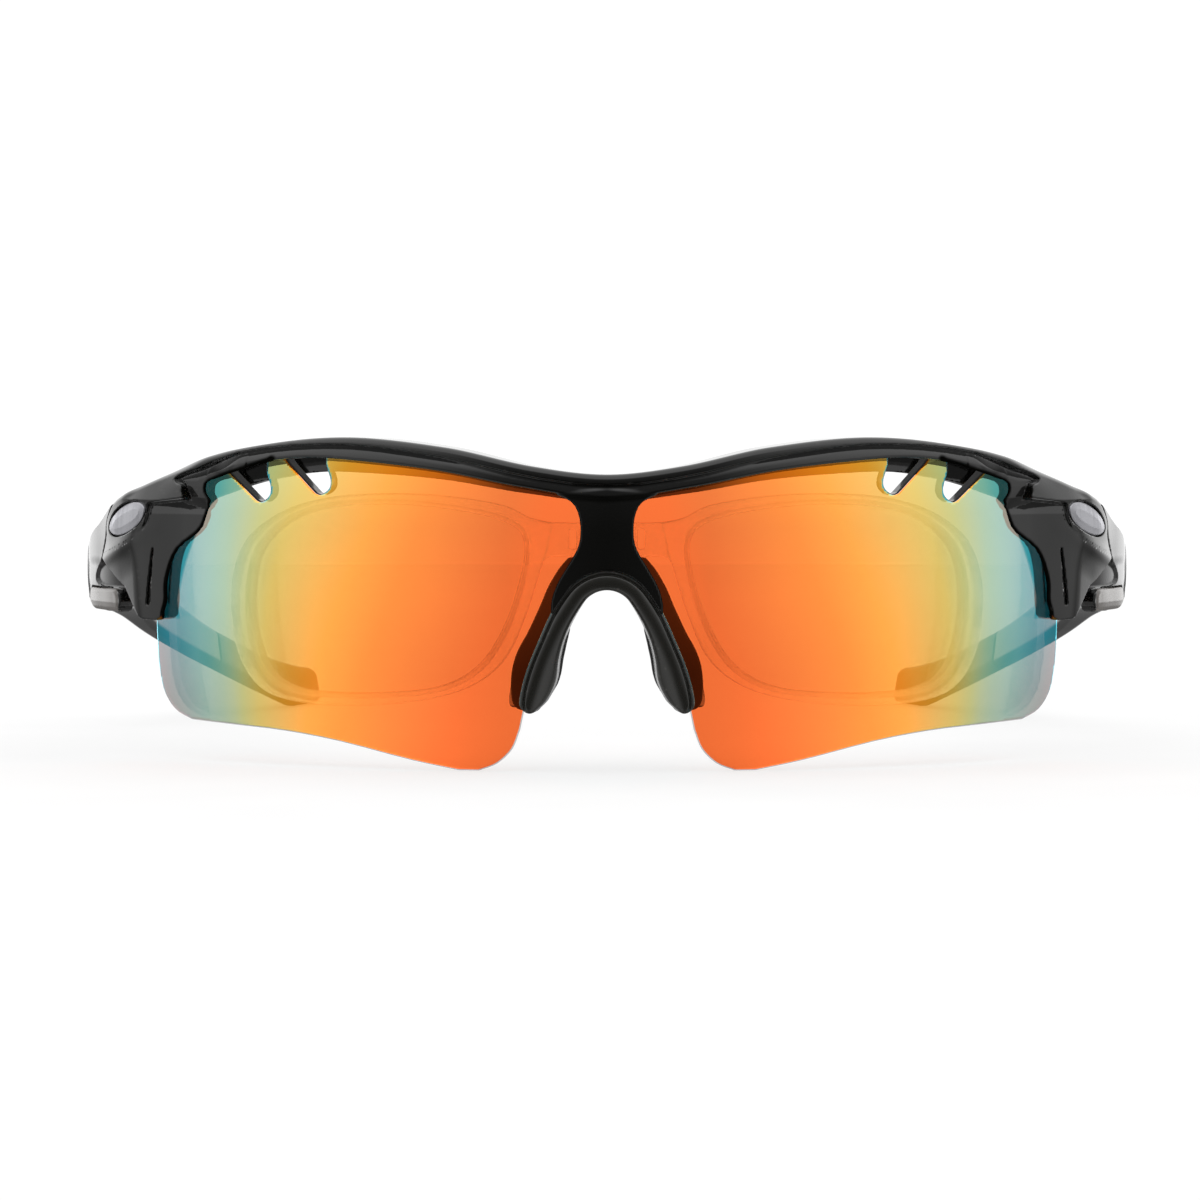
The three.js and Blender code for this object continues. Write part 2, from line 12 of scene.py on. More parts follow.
import bpy
import numpy as np
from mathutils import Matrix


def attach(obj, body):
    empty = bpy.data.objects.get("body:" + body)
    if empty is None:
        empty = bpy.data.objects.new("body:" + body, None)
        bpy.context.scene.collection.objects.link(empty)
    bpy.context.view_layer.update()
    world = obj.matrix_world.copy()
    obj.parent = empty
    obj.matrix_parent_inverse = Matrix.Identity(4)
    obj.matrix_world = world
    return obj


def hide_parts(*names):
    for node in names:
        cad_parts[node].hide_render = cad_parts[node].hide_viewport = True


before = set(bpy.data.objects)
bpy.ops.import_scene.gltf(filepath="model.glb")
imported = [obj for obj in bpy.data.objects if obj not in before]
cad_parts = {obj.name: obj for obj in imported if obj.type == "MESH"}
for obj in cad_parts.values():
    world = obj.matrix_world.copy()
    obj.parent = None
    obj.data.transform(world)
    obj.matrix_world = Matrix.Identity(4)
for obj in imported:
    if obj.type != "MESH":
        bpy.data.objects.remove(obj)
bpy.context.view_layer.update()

# ---- driving dimensions, the same as the CAD's ----
FRONT_RADIUS = 85.0
FRONT_ANGLE = math.radians(47.6)
CORNER_RADIUS = 30.0
TEMPLE_RADIUS = 280.0
RISE_RADIUS = 120.0
RISE_CENTRE = 25.0
FRONT_TO_ORIGIN = 74.95
LENS_THICKNESS = 2.0
PIVOT = (67.5, 44.0)
SLEEVE_START = 158.0
TIP_END = 200.0
HINGE_Z = {"low": 21.2, "eye": 24.4, "high": 27.8, "top": 30.8}

COARSE = 1.0


# ---- the wrap surface ----
ARCS = [
    (FRONT_RADIUS * FRONT_ANGLE, FRONT_RADIUS),
    (CORNER_RADIUS * (math.pi / 2 - FRONT_ANGLE), CORNER_RADIUS),
    (math.inf, TEMPLE_RADIUS),
]


def wall(d):
    """Plan position, direction angle and curvature of the wall at distances d >= 0."""
    x = y = angle = bend = np.zeros_like(d)
    for length, radius in ARCS:
        bend = np.where(d >= 0, 1 / radius, bend)
        turned = angle + np.clip(d, 0, length) / radius
        x = x + radius * (np.sin(turned) - np.sin(angle))
        y = y + radius * (np.cos(angle) - np.cos(turned))
        angle = turned
        d = d - length
    return x, y, angle, bend


def on_wall(points, gradient):
    """World places in mm, and world normals, of points (s, z, n) with their field gradients."""
    s, z, n = points.T
    along, up, outward = gradient.T
    side = np.where(s < 0, -1.0, 1.0)
    x, y, angle, bend = wall(np.abs(s))
    sin, cos = np.sin(angle), np.cos(angle)
    out = n - (z - RISE_CENTRE) ** 2 / (2 * RISE_RADIUS)
    along = side * along / (1 + out * bend)
    place = [side * (x + out * sin), y - out * cos - FRONT_TO_ORIGIN, z]
    rise = up + outward * (z - RISE_CENTRE) / RISE_RADIUS
    normal = [side * (along * cos + outward * sin), along * sin - outward * cos, rise]
    return np.column_stack(place), np.column_stack(normal)


def in_space(points, gradient):
    """The same for points in plain x, y, z, with y measured back from the lens's front face."""
    return points - np.array([0, FRONT_TO_ORIGIN, 0]), gradient


# ---- lines and fields ----
def curve(knots):
    """A smooth value over s through a few knots (s, value)."""
    at = np.array([k[0] for k in knots], float)
    value = np.array([k[1] for k in knots], float)
    before = np.maximum(np.arange(len(at)) - 1, 0)
    after = np.minimum(np.arange(len(at)) + 1, len(at) - 1)
    slope = (value[after] - value[before]) / (at[after] - at[before])
    if at[0] == 0:
        slope[0] = 0

    def evaluate(s):
        d = np.clip(np.abs(s), at[0], at[-1])
        i = np.clip(np.searchsorted(at, d, side="right") - 1, 0, len(at) - 2)
        width = at[i + 1] - at[i]
        t = (d - at[i]) / width
        keep = (1 + 2 * t) * (1 - t) ** 2
        pull = width * t * (1 - t) * ((1 - t) * slope[i] - t * slope[i + 1])
        return keep * value[i] + (1 - keep) * value[i + 1] + pull

    return evaluate


def smooth_line(corners, count):
    """Points of a Catmull-Rom line through a few corners."""
    p = np.array(corners, float)
    p = np.vstack([2 * p[0] - p[1], p, 2 * p[-1] - p[-2]])
    points = []
    for t in np.linspace(0, len(corners) - 1, count + 1):
        i = min(int(t), len(corners) - 2)
        u = t - i
        a, b, c, d = p[i : i + 4]
        bend = (2 * a - 5 * b + 4 * c - d) * u**2 + (3 * b - a - 3 * c + d) * u**3
        points.append(tuple(b + 0.5 * ((c - a) * u + bend)))
    return points


def closed_line(corners, count):
    """The same for a line that comes back to its first corner."""
    around = smooth_line([corners[-1], *corners, corners[0], corners[1]], count + 2 * count // len(corners))
    step = count // len(corners)
    return around[step : step + count]


def mirrored(points):
    return [(-s, z) for s, z in reversed(points)]


def polygon(points, a, b):
    """Signed distance to a closed outline."""
    a, b = np.broadcast_arrays(a, b)
    nearest = np.full(a.shape, 1e9)
    inside = np.zeros(a.shape, bool)
    for (a0, b0), (a1, b1) in zip(points, [*points[1:], points[0]]):
        da, db = a1 - a0, b1 - b0
        length = da * da + db * db
        if length < 1e-12:
            continue
        t = np.clip(((a - a0) * da + (b - b0) * db) / length, 0, 1)
        nearest = np.minimum(nearest, (a - a0 - t * da) ** 2 + (b - b0 - t * db) ** 2)
        if db:
            inside ^= ((b0 > b) != (b1 > b)) & (a < (b - b0) * da / db + a0)
    return np.where(inside, -1, 1) * np.sqrt(nearest)


def segment(a0, b0, a1, b1, a, b):
    """Distance to a straight line between two points, and how far along it, 0 to 1."""
    da, db = a1 - a0, b1 - b0
    t = np.clip(((a - a0) * da + (b - b0) * db) / (da * da + db * db), 0, 1)
    return np.hypot(a - a0 - t * da, b - b0 - t * db), t


def both(first, second, radius=0.0):
    """Where both fields are negative, with the edge between them rounded."""
    if not radius:
        return np.maximum(first, second)
    u = np.maximum(first + radius, 0)
    v = np.maximum(second + radius, 0)
    return np.minimum(np.maximum(first, second), -radius) + np.sqrt(u * u + v * v)


def blend(first, second, radius):
    """Where either field is negative, with a fillet between them."""
    h = np.clip(0.5 + 0.5 * (second - first) / radius, 0, 1)
    return second + (first - second) * h - radius * h * (1 - h)


def slab(low, high, value):
    return np.maximum(low - value, value - high)


def box_field(ranges, radius, *axes):
    """A rounded box from (low, high) pairs, one for each axis."""
    sides = [slab(low, high, value) + radius for (low, high), value in zip(ranges, axes)]
    outside = sum(np.maximum(side, 0) ** 2 for side in sides)
    within = sides[0]
    for side in sides[1:]:
        within = np.maximum(within, side)
    return np.sqrt(outside) + np.minimum(within, 0) - radius


def ramp(low, high, value):
    """0 below low, 1 above high, smooth between."""
    t = np.clip((value - low) / (high - low), 0, 1)
    return t * t * (3 - 2 * t)


def bump_at(middle, width, value):
    """1 at the middle, falling smoothly to 0 on both sides."""
    return np.exp(-(((value - middle) / width) ** 2))


# ---- surface nets ----
CORNERS = [(i, j, k) for i in (0, 1) for j in (0, 1) for k in (0, 1)]
EDGES = [(a, b) for a in CORNERS for b in CORNERS if a < b and math.dist(a, b) == 1]


def at_corner(array, corner):
    """A grid array's values at one corner of every cell."""
    i, j, k = corner
    a, b, c = array.shape
    return array[i : a - 1 + i, j : b - 1 + j, k : c - 1 + k]


def net_points(values):
    """A point, in cells, for each cell that the surface crosses, and an array of the points' numbers."""
    filled = sum(at_corner(values < 0, corner).astype(np.int8) for corner in CORNERS)
    active = (filled > 0) & (filled < 8)
    cells = np.argwhere(active)
    number = np.full(active.shape, -1, np.int64)
    number[active] = np.arange(len(cells))
    total = np.zeros((len(cells), 3))
    hits = np.zeros(len(cells))
    for a, b in EDGES:
        first = at_corner(values, a)[active].astype(float)
        second = at_corner(values, b)[active].astype(float)
        crossed = (first < 0) != (second < 0)
        t = np.where(crossed, first / np.where(crossed, first - second, 1), 0)
        place = np.array(a) + t[:, None] * (np.array(b) - np.array(a))
        total[crossed] += place[crossed]
        hits[crossed] += 1
    return cells + total / hits[:, None], number


def net_quads(inside, number):
    """A quad round every grid edge that the surface crosses, facing outwards."""
    quads = []
    for axis in range(3):
        u, v = (axis + 1) % 3, (axis + 2) % 3
        here = [slice(1, -1)] * 3
        here[axis] = slice(0, -1)
        there = list(here)
        there[axis] = slice(1, None)
        starts = inside[tuple(here)]
        changed = np.argwhere(starts != inside[tuple(there)])
        outward = starts[tuple(changed.T)]
        changed[:, [u, v]] += 1
        ring = []
        for du, dv in [(-1, -1), (0, -1), (0, 0), (-1, 0)]:
            at = changed.copy()
            at[:, u] += du
            at[:, v] += dv
            ring.append(number[tuple(at.T)])
        ring = np.column_stack(ring)
        ring[~outward] = ring[~outward][:, ::-1]
        quads.append(ring)
    return np.vstack(quads)


def surface_net(field, low, high, cell):
    """Points near the field's zero surface, the quads between them, and the grid's cell size."""
    low = np.array(low, float)
    size = np.full(3, cell) * COARSE
    counts = np.ceil((np.array(high) - low) / size).astype(int) + 1
    x, y, z = (low[i] + size[i] * np.arange(counts[i]) for i in range(3))
    grid = [x[:, None, None], y[None, :, None], z[None, None, :]]
    values = np.broadcast_to(field(*grid), tuple(counts)).astype(np.float32)
    points, number = net_points(values)
    return low + size * points, net_quads(values < 0, number), size


def slopes(field, points, step=0.03):
    """The field's gradient at points."""
    parts = []
    for axis in range(3):
        move = np.zeros(3)
        move[axis] = step
        ahead = field(*(points + move).T)
        behind = field(*(points - move).T)
        parts.append((ahead - behind) / (2 * step))
    return np.column_stack(parts)


def settle(field, points, size):
    """Moves net points onto the zero surface, by less than a cell."""
    value = field(*points.T)
    gradient = slopes(field, points)
    square = np.maximum((gradient**2).sum(1), 0.04)
    move = gradient * (value / square)[:, None]
    return points - np.clip(move, -0.6 * size, 0.6 * size)


def mesh_from(name, points, quads, normals, extra=None):
    """A smooth mesh in metres with its own normals and point attributes."""
    mesh = bpy.data.meshes.new(name)
    mesh.vertices.add(len(points))
    mesh.vertices.foreach_set("co", (points / 1000).astype(np.float32).ravel())
    mesh.loops.add(quads.size)
    mesh.loops.foreach_set("vertex_index", quads.astype(np.int32).ravel())
    mesh.polygons.add(len(quads))
    mesh.polygons.foreach_set("loop_start", np.arange(0, quads.size, 4, dtype=np.int32))
    mesh.polygons.foreach_set("use_smooth", np.ones(len(quads), bool))
    mesh.update(calc_edges=True)
    mesh.validate()
    length = np.maximum(np.linalg.norm(normals, axis=1, keepdims=True), 1e-9)
    mesh.normals_split_custom_set_from_vertices((normals / length).astype(np.float32).tolist())
    for key, values in (extra or {}).items():
        layer = mesh.attributes.new(key, "FLOAT", "POINT")
        layer.data.foreach_set("value", np.asarray(values, np.float32))
    return mesh


def add_piece(name, mesh, body, node, material):
    """Shows a mesh as a piece that rides on a body and stands for a CAD node, if it has one."""
    piece = bpy.data.objects.new(name, mesh)
    bpy.context.scene.collection.objects.link(piece)
    mesh.materials.append(material)
    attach(piece, body)
    if node:
        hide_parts(node)


def surface(field, low, high, cell, place):
    """The field's surface: points in the field's own axes, quads, world places and world normals."""
    points, quads, size = surface_net(field, low, high, cell)
    points = settle(field, points, size)
    return points, quads, *place(points, slopes(field, points))


def build(name, field, low, high, cell, body, node, material, extra=None):
    """One piece from a field on the wall. Extra functions of (s, z, n) become attributes of its mesh."""
    points, quads, world, normals = surface(field, low, high, cell, on_wall)
    values = {key: make(*points.T) for key, make in (extra or {}).items()}
    add_piece(name, mesh_from(name, world, quads, normals, values), body, node, material)


def build_pair(name, field, low, high, cell, body, node, material, place=on_wall):
    """A piece on the wearer's left and its mirror image on the right. {} in a name takes the side."""
    _, quads, world, normals = surface(field, low, high, cell, place)
    flip = np.array([-1, 1, 1])
    sides = [("left", world, quads, normals), ("right", world * flip, quads[:, ::-1], normals * flip)]
    for side, at, faces, facing in sides:
        mesh = mesh_from(name.format(side), at, faces, facing)
        node_name = node.format(side) if node else None
        add_piece(name.format(side), mesh, body.format(side), node_name, material)


# ---- outlines shared by the pieces ----
brow_top = curve([
    (0, 40.2), (10, 41.3), (22, 43.8), (37, 45.1), (52.8, 43.6), (64.5, 40.9), (77, 36.6), (80.5, 34.8),
])
brow_lip = curve([(0, 36.6), (11.5, 38.1), (22.5, 40.2), (34, 41.5), (43, 41.9), (52.3, 40.8), (62, 38.4)])
crease_drop = curve([(0, 1.5), (20, 1.4), (28, 1.2), (38, 0.9), (53, 0.65), (61, 1.2)])

LENS_BITE = 1.5  # how far the lens goes up behind the brow's lip
LIP_LIFT = 0.35  # the lip's front edge above its root, so that it ends level when seen from a little above
NOSE_EDGE = [(0, 26.4), (2, 26), (3.7, 24.9), (5, 23.2), (7, 19.9), (9.1, 15.2), (10.5, 11.1), (11.2, 9)]
NOSE_SIDE = [*NOSE_EDGE, (12.2, 5)]
NOSE_HOLE = smooth_line([*mirrored(NOSE_SIDE[1:]), *NOSE_SIDE], 56)


def lens_half():
    """The lens's edge on the wearer's left, from the middle of the nose round to the top."""
    nose = smooth_line([(-3, 25.2), *NOSE_EDGE, (12, 5.7)], 32)[4:]
    nose_corner = smooth_line([(12, 5.7), (13.2, 3), (15.4, 1), (18, 0)], 12)
    sweep = smooth_line([(21, 0), (27.7, 1.2), (38.5, 3.5), (47.6, 4.7), (56.1, 5.2), (65.2, 5.6)], 15)
    outer_corner = smooth_line([(65.2, 5.6), (68.6, 6.9), (70.7, 9.6), (71.3, 13.5)], 12)
    outer_edge = smooth_line([(71.3, 13.5), (71, 21), (69.6, 29), (66, 35.6)], 9)
    top = [(s, float(brow_lip(s)) + LENS_BITE) for s in np.linspace(62, 0, 14)]
    return [*nose, *nose_corner[1:], *sweep, *outer_corner[1:], *outer_edge[1:], *top]


LENS_HALF = lens_half()
LENS_OUTLINE = LENS_HALF + mirrored(LENS_HALF[1:-1])


def vent_outline(s, z, reach):
    """A slanted notch with its round lower end at (s, z), open at the lens's top edge."""
    tip = [(1, 0.2), (0.2, 0), (-0.9, 0.7), (-1.1, 1.9), (-0.2, 4)]
    tip = smooth_line([(s + along, z + up) for along, up in tip], 12)
    return [*tip, (s, z + 8), (s + reach + 3.4, z + 8), (s + reach, z + 4.2)]


VENTS = [vent_outline(40.6, 37.3, 5.7), vent_outline(50.4, 36.2, 6.6)]


def vent_shape(s, z):
    return np.minimum(*[polygon(outline, np.abs(s), z) for outline in VENTS])


def lens_shape(s, z):
    """Distance to the lens's outline, vents cut."""
    return both(polygon(LENS_OUTLINE, np.abs(s), z), -vent_shape(s, z), 0.15)


# ---- lens ----
def lens_field(s, z, n):
    shape = lens_shape(s, z)
    return both(both(shape, n, 0.3), -LENS_THICKNESS - n, 0.3)


# ---- front frame ----
SEAM = smooth_line([(78.5, 35.4), (80.3, 33), (80.3, 30.6), (81.3, 27.8)], 10)
JAW = [
    (79.9, 26.5), (77.1, 24.7), (75.4, 23.9), (73.7, 21.7),
    (72.3, 19.9), (71.5, 19.5), (69, 19.4), (67.6, 20.2),
]
FRONT_MOUTH = smooth_line(
    [(67.4, 20.4), (66.7, 22.3), (66.5, 25.1), (64.6, 29), (60.2, 32), (58.4, 35.2)], 20
)
MOUTH_TOP = smooth_line([(58.4, 35.2), (58.5, 36.5), (59.3, 37.6), (59, 38.6), (56, 39.7)], 12)
BACK_MOUTH = smooth_line(
    [(69.4, 19), (70, 21.4), (69.8, 23.4), (68.1, 27.8), (66, 31.6), (63.6, 35.2), (60.4, 37.4)], 14
)

# Closed outlines: the lug seen from outside, what the mouth takes out of it, and the same two at its back.
lug_top = [(s, float(brow_top(s)) + 2) for s in np.linspace(52, 77, 8)]
LUG_OUTER = [*lug_top, (79.5, 36.6), *SEAM, *JAW, (62, 21), (52, 34)]
LUG_MOUTH = [*FRONT_MOUTH, *MOUTH_TOP[1:], (48, 42), (48, 12), (67.8, 12)]
LUG_BACK = [*lug_top, (79.5, 36.6), *SEAM, *JAW[:6], (62, 19.5), (52, 34)]
BACK_OPENING = [*BACK_MOUTH, (57, 39), (46, 40), (46, 14), (69.4, 14)]
HINGE_ROOT = [(72.5, 20.6), (77.4, 20.9), (78.6, 25), (78.6, 31.2), (73, 31.2)]

S_BEND = smooth_line(
    [(61.3, 40.5), (64.6, 39.7), (65.7, 39.1), (65, 38.6), (63.9, 38.3), (63.5, 37.3), (63.1, 36.6)], 16
)
brow_crease = [(s, float(brow_top(s) - crease_drop(s))) for s in np.linspace(0, 58, 14)]
CREASE = [(-8, 38.7), *brow_crease, *S_BEND]
PAD_EDGE = smooth_line(
    [(63.4, 36.5), (69.4, 35.8), (70, 35.2), (70.1, 33.6), (71.2, 32), (74.6, 30), (84, 27.4)], 18
)
RAISED = [*CREASE, *PAD_EDGE, (86, 52), (-8, 52)]

STEM_SIDE = [
    (7, 20.4), (7.4, 22), (7.15, 23.9), (6.4, 25.8), (5.3, 27.7), (4.3, 29.4),
    (3.65, 31), (3.5, 32.7), (3.75, 34.8), (4.6, 36.4), (6.4, 37.4),
]
STEM_HALF = [(0, 20.4), *smooth_line(STEM_SIDE, 22), (0, 38.2)]
STEM = STEM_HALF + mirrored(STEM_HALF)

# Depths behind and heights in front of the lens's front face.
BROW_DEPTH = 4.3
LUG_DEPTH = 3.6
STEM_FACE = 2.1
MOUTH_LEVEL = 1.8
BADGE_BED = 2.0
BADGE_FACE = 2.62

BADGE = {"s": 74.8, "z": 33.4, "length": 9.3, "height": 4.0, "tilt": math.radians(-19)}


def badge_shape(s, z):
    """Distance to the badge's oval, and how far its flat face stands off the curved wall."""
    cos, sin = math.cos(BADGE["tilt"]), math.sin(BADGE["tilt"])
    u = (s - BADGE["s"]) * cos + (z - BADGE["z"]) * sin
    v = (z - BADGE["z"]) * cos - (s - BADGE["s"]) * sin
    a, b = BADGE["length"] / 2, BADGE["height"] / 2
    k = np.sqrt((u / a) ** 2 + (v / b) ** 2 + 1e-9)
    steep = np.sqrt((u / a**2) ** 2 + (v / b**2) ** 2 + 1e-9)
    flat = (s - BADGE["s"]) ** 2 / (2 * CORNER_RADIUS)
    return k * (k - 1) / steep, flat


def lower_height(s, z):
    """Outer face of the frame's lower layer: fascia, rim and the lug's main face."""
    lip = brow_lip(s) + LIP_LIFT
    rise = np.clip((z - lip) / (brow_top(s) - crease_drop(s) - lip), 0, 1)
    fascia = 2.3 - (0.3 + 0.5 * ramp(8, 30, s)) * rise**2
    fascia = fascia - 1.1 * ramp(53, 59, s) - 0.3 * np.maximum(36.6 - z, 0)
    fascia = fascia - 0.3 * ramp(58, 66, s) * np.maximum(38 - z, 0)
    face = 0.7 + 2.2 * ramp(63.5, 73, s)
    face = face - 0.26 * np.maximum(z - 34.2, 0) * (1 - ramp(72, 76, s))
    ridge = 31.4 - 0.36 * (s - 70.4)
    below = np.maximum(ridge - z, 0)
    jaw = ramp(67, 76, s)
    face = face - jaw * (0.045 * below + 0.3 * ramp(0, 5, below)) + 0.2 * jaw * bump_at(ridge, 1.3, z)
    return np.maximum(fascia, face)


def raised_height(s, z):
    """Outer face of the raised layer: the brow's roll, the lug's top facet and the badge pad."""
    lug = ramp(59, 69, s)
    facet = 0.42 * lug * np.maximum(z - 36.2, 0)
    return 2.55 + 0.3 * lug - facet - 0.4 * lug * ramp(32, 30.2, z)


def undercut(outline, s, z, n, level):
    """An outline whose wall leans so that it runs straight back, with the outline itself at n = level."""
    lean = 0.93 * (polygon(outline, s + 0.5, z) - polygon(outline, s - 0.5, z))
    return polygon(outline, s, z) + lean * (n - level)


def lower_layer(s, z, n, low, lug, raised):
    """Fascia and jaw up to their outer face, low, with the mouth and the crease cut in them."""
    lip = brow_lip(s) + LIP_LIFT - z
    ends = np.maximum(s - 60, -BROW_DEPTH - n)
    brow = both(np.maximum(lip, ends), n - low, 0.45)
    jaw = both(both(lug, n - low, 0.2), -undercut(LUG_MOUTH, s, z, n, MOUTH_LEVEL), 0.6)
    jaw = np.maximum(jaw, -1 - n)
    depth = 0.25 * ramp(54, 60, s) * (1 - ramp(67.5, 70.5, s)) - 0.2 * (1 - ramp(24, 34, s))
    crease = np.maximum(np.abs(raised - 0.1) - 0.2, low - depth - n)
    return both(blend(brow, jaw, 0.3), -crease, 0.06)


def raised_layer(s, z, n, lug, raised):
    """The brow's roll and the lug's upper part, one step above the lower layer."""
    layer = both(raised, n - raised_height(s, z), 0.22)
    layer = both(layer, np.where(s > 60, lug, -9), 0.2)
    return np.maximum(layer, -n)


def brow_back(s, z, n):
    """The brow behind the lens's top edge, whose lip hangs lower towards the lugs."""
    lip = brow_lip(s) - np.clip(0.1 + s / 27, 0.1, 1.9) - z
    return both(both(np.maximum(lip, s - 62), -BROW_DEPTH - n, 0.8), n + 1)


def lug_back(s, z, n):
    """The lug behind the lens's face, open where the lens runs into it."""
    back = both(polygon(LUG_BACK, s, z), -LUG_DEPTH - n, 0.5)
    back = both(back, -undercut(BACK_OPENING, s, z, n, -3.4), 0.3)
    return np.maximum(back, n)


def hinge_root(s, z, n):
    return np.maximum(both(polygon(HINGE_ROOT, s, z), -LUG_DEPTH - n, 0.3), n + 0.4)


def stem(s, z, n):
    """The strut down the middle that ends just above the nose piece."""
    strut = both(polygon(STEM, s, z), n - STEM_FACE, 0.25)
    return np.maximum(both(strut, 0.9 - polygon(NOSE_HOLE, s, z), 0.1), 0.1 - n)


def insert_boss(s, z, n):
    """The pad behind the stem and the boss that the insert slides onto."""
    pad = box_field([(-3.2, 3.2), (28.9, 39), (-4.4, -2)], 0.3, s, z, n)
    boss = box_field([(-3, 3), (30.2, 32.2), (-10.4, -2.2)], 0.25, s, z, n)
    return blend(pad, boss, 0.4)


def jaw_slit(s, z, n, low):
    """A slit down the jaw that widens towards its foot."""
    across, t = segment(69.2, 29.4, 70.1, 21.8, s, z)
    return np.maximum(across - 0.14 - 0.2 * t, low - 0.6 - n)


def front_field(s, z, n):
    """The whole front: two layers outside, brow and lugs behind, stem, insert boss and badge beds."""
    s = np.sqrt(s * s + 0.09)  # keeps the halves smooth where they meet
    lug = polygon(LUG_OUTER, s, z)
    raised = polygon(RAISED, s, z)
    low = lower_height(s, z)
    outside = blend(
        lower_layer(s, z, n, low, lug, raised),
        raised_layer(s, z, n, lug, raised),
        0.25 + 0.35 * (1 - ramp(12, 32, s)),
    )
    body = np.minimum(outside, np.minimum(brow_back(s, z, n), lug_back(s, z, n)))
    body = both(body, z - brow_top(s) + 0.02, 0.9)
    body = blend(body, stem(s, z, n), 0.6)
    body = np.minimum(np.minimum(body, hinge_root(s, z, n)), insert_boss(s, z, n))

    oval, flat = badge_shape(s, z)
    body = both(body, -np.maximum(oval - 0.17, BADGE_BED - 0.1 + flat - n), 0.1)
    body = both(body, -jaw_slit(s, z, n, low), 0.1)

    room = np.maximum(polygon(LENS_OUTLINE, s, z) - 0.12, slab(-LENS_THICKNESS - 0.1, 0.08, n))
    return np.maximum(body, -room)


def cut_walls(s, z, n):
    """1 on the mouth's wall and the stem's sides, which were cut and left dull."""
    d = np.abs(s)
    mouth = ramp(-0.75, -0.3, -undercut(LUG_MOUTH, d, z, n, MOUTH_LEVEL)) * (d < 72) * (n > 0)
    side = ramp(-0.3, -0.1, polygon(STEM, d, z)) * (d < 8) * (z < 36.8) * (n > 0)
    return np.maximum(mouth, side)


def badge_field(s, z, n):
    oval, flat = badge_shape(s, z)
    rise = 0.12 * np.clip(-oval, 0, 1.2)
    return both(both(oval, n - BADGE_FACE - flat - rise, 0.16), BADGE_BED + flat - n)


# ---- hinges ----
EYE_RADIUS = 2.3
HOLE_RADIUS = 0.85
SEAT_RADIUS = 1.45
SLEEVE_RADIUS = 1.35
SHAFT_RADIUS = 0.72
HEAD_RADIUS = 1.6
THREAD_PITCH = 0.35
HINGE_GAP = 0.2
KNUCKLE_ROOT = (62.9, 30.6)
EYE_ROOT = (68.6, 50.4)


def from_pivot(x, y):
    return np.hypot(x - PIVOT[0], y - PIVOT[1])


def post(x, y, z, radius, low, high, edge):
    return both(from_pivot(x, y) - radius, slab(low, high, z), edge)


def hinge_leaf(x, y, z, root, width, low, high):
    """A round eye on the pivot and a bar from its root, joined in plan and cut flat above and below."""
    across, _ = segment(*root, *PIVOT, x, y)
    plan = blend(from_pivot(x, y) - EYE_RADIUS, across - width / 2, 0.4)
    return both(plan, slab(low, high, z), 0.25)


def knuckle_field(x, y, z):
    """The front's two knuckles, with the sleeve's seat in the lower one."""
    lower = hinge_leaf(x, y, z, KNUCKLE_ROOT, 2.8, HINGE_Z["low"], HINGE_Z["eye"] - HINGE_GAP)
    upper = hinge_leaf(x, y, z, KNUCKLE_ROOT, 2.8, HINGE_Z["high"], HINGE_Z["top"])
    hole = from_pivot(x, y) - HOLE_RADIUS
    seat = np.maximum(from_pivot(x, y) - SEAT_RADIUS, z - HINGE_Z["eye"] + 0.75)
    return np.maximum(np.minimum(lower, upper), -np.minimum(hole, seat))


def eye_field(x, y, z):
    """The temple's eye, between the knuckles."""
    leaf = hinge_leaf(x, y, z, EYE_ROOT, 3, HINGE_Z["eye"], HINGE_Z["high"] - HINGE_GAP)
    return np.maximum(leaf, HOLE_RADIUS - from_pivot(x, y))


def screw_field(x, y, z):
    """A slotted, domed head on a shaft that is threaded at its lower end."""
    top = HINGE_Z["top"]
    dome = z - (top + 1.1) + 0.12 * from_pivot(x, y) ** 2
    head = both(post(x, y, z, HEAD_RADIUS, top + 0.15, top + 1.2, 0.1), dome, 0.12)
    turn = np.arctan2(y - PIVOT[1], x - PIVOT[0])
    thread = 0.05 * np.sin(2 * math.pi * z / THREAD_PITCH + turn) * (z < 24)
    shaft = post(x, y, z, SHAFT_RADIUS, HINGE_Z["low"], top + 0.4, 0.12) + thread
    groove = np.maximum(np.abs(y - PIVOT[1]) - 0.22, top + 0.65 - z)
    return np.maximum(np.minimum(head, shaft), -groove)


def sleeve_field(x, y, z):
    """The threaded sleeve inside the lower knuckle."""
    tube = post(x, y, z, SLEEVE_RADIUS, HINGE_Z["low"], HINGE_Z["eye"] - 0.8, 0.12)
    return both(tube, HOLE_RADIUS - 0.02 - from_pivot(x, y), 0.1)


# ---- temples ----
temple_top = curve([
    (82, 33.9), (84.3, 32.4), (88, 30.6), (93, 29.4), (111, 25), (123, 22.2), (140, 18.5), (155, 14.7),
    (167, 11.9), (181, 8.6), (193, 6.4), (TIP_END, 5.6),
])
temple_bottom = curve([
    (82, 20.2), (90, 20.6), (97, 20), (102, 19.3), (111, 17.8), (123, 15.3), (140, 11.9), (155, 8.7),
    (167, 5.9), (181, 2.4), (190, 0.05), (191, 0.05), (TIP_END, 0.05),
])
temple_outer = curve([
    (78, 2.85), (82, 3), (87, 3.56), (92, 3.56), (97, 3.38), (111, 2.2), (125, 1.8), (TIP_END, 1.8),
])
temple_inner = curve([(88, -5.4), (92, -5), (102, -3.6), (111, -2.6), (125, -2.1), (TIP_END, -2.1)])

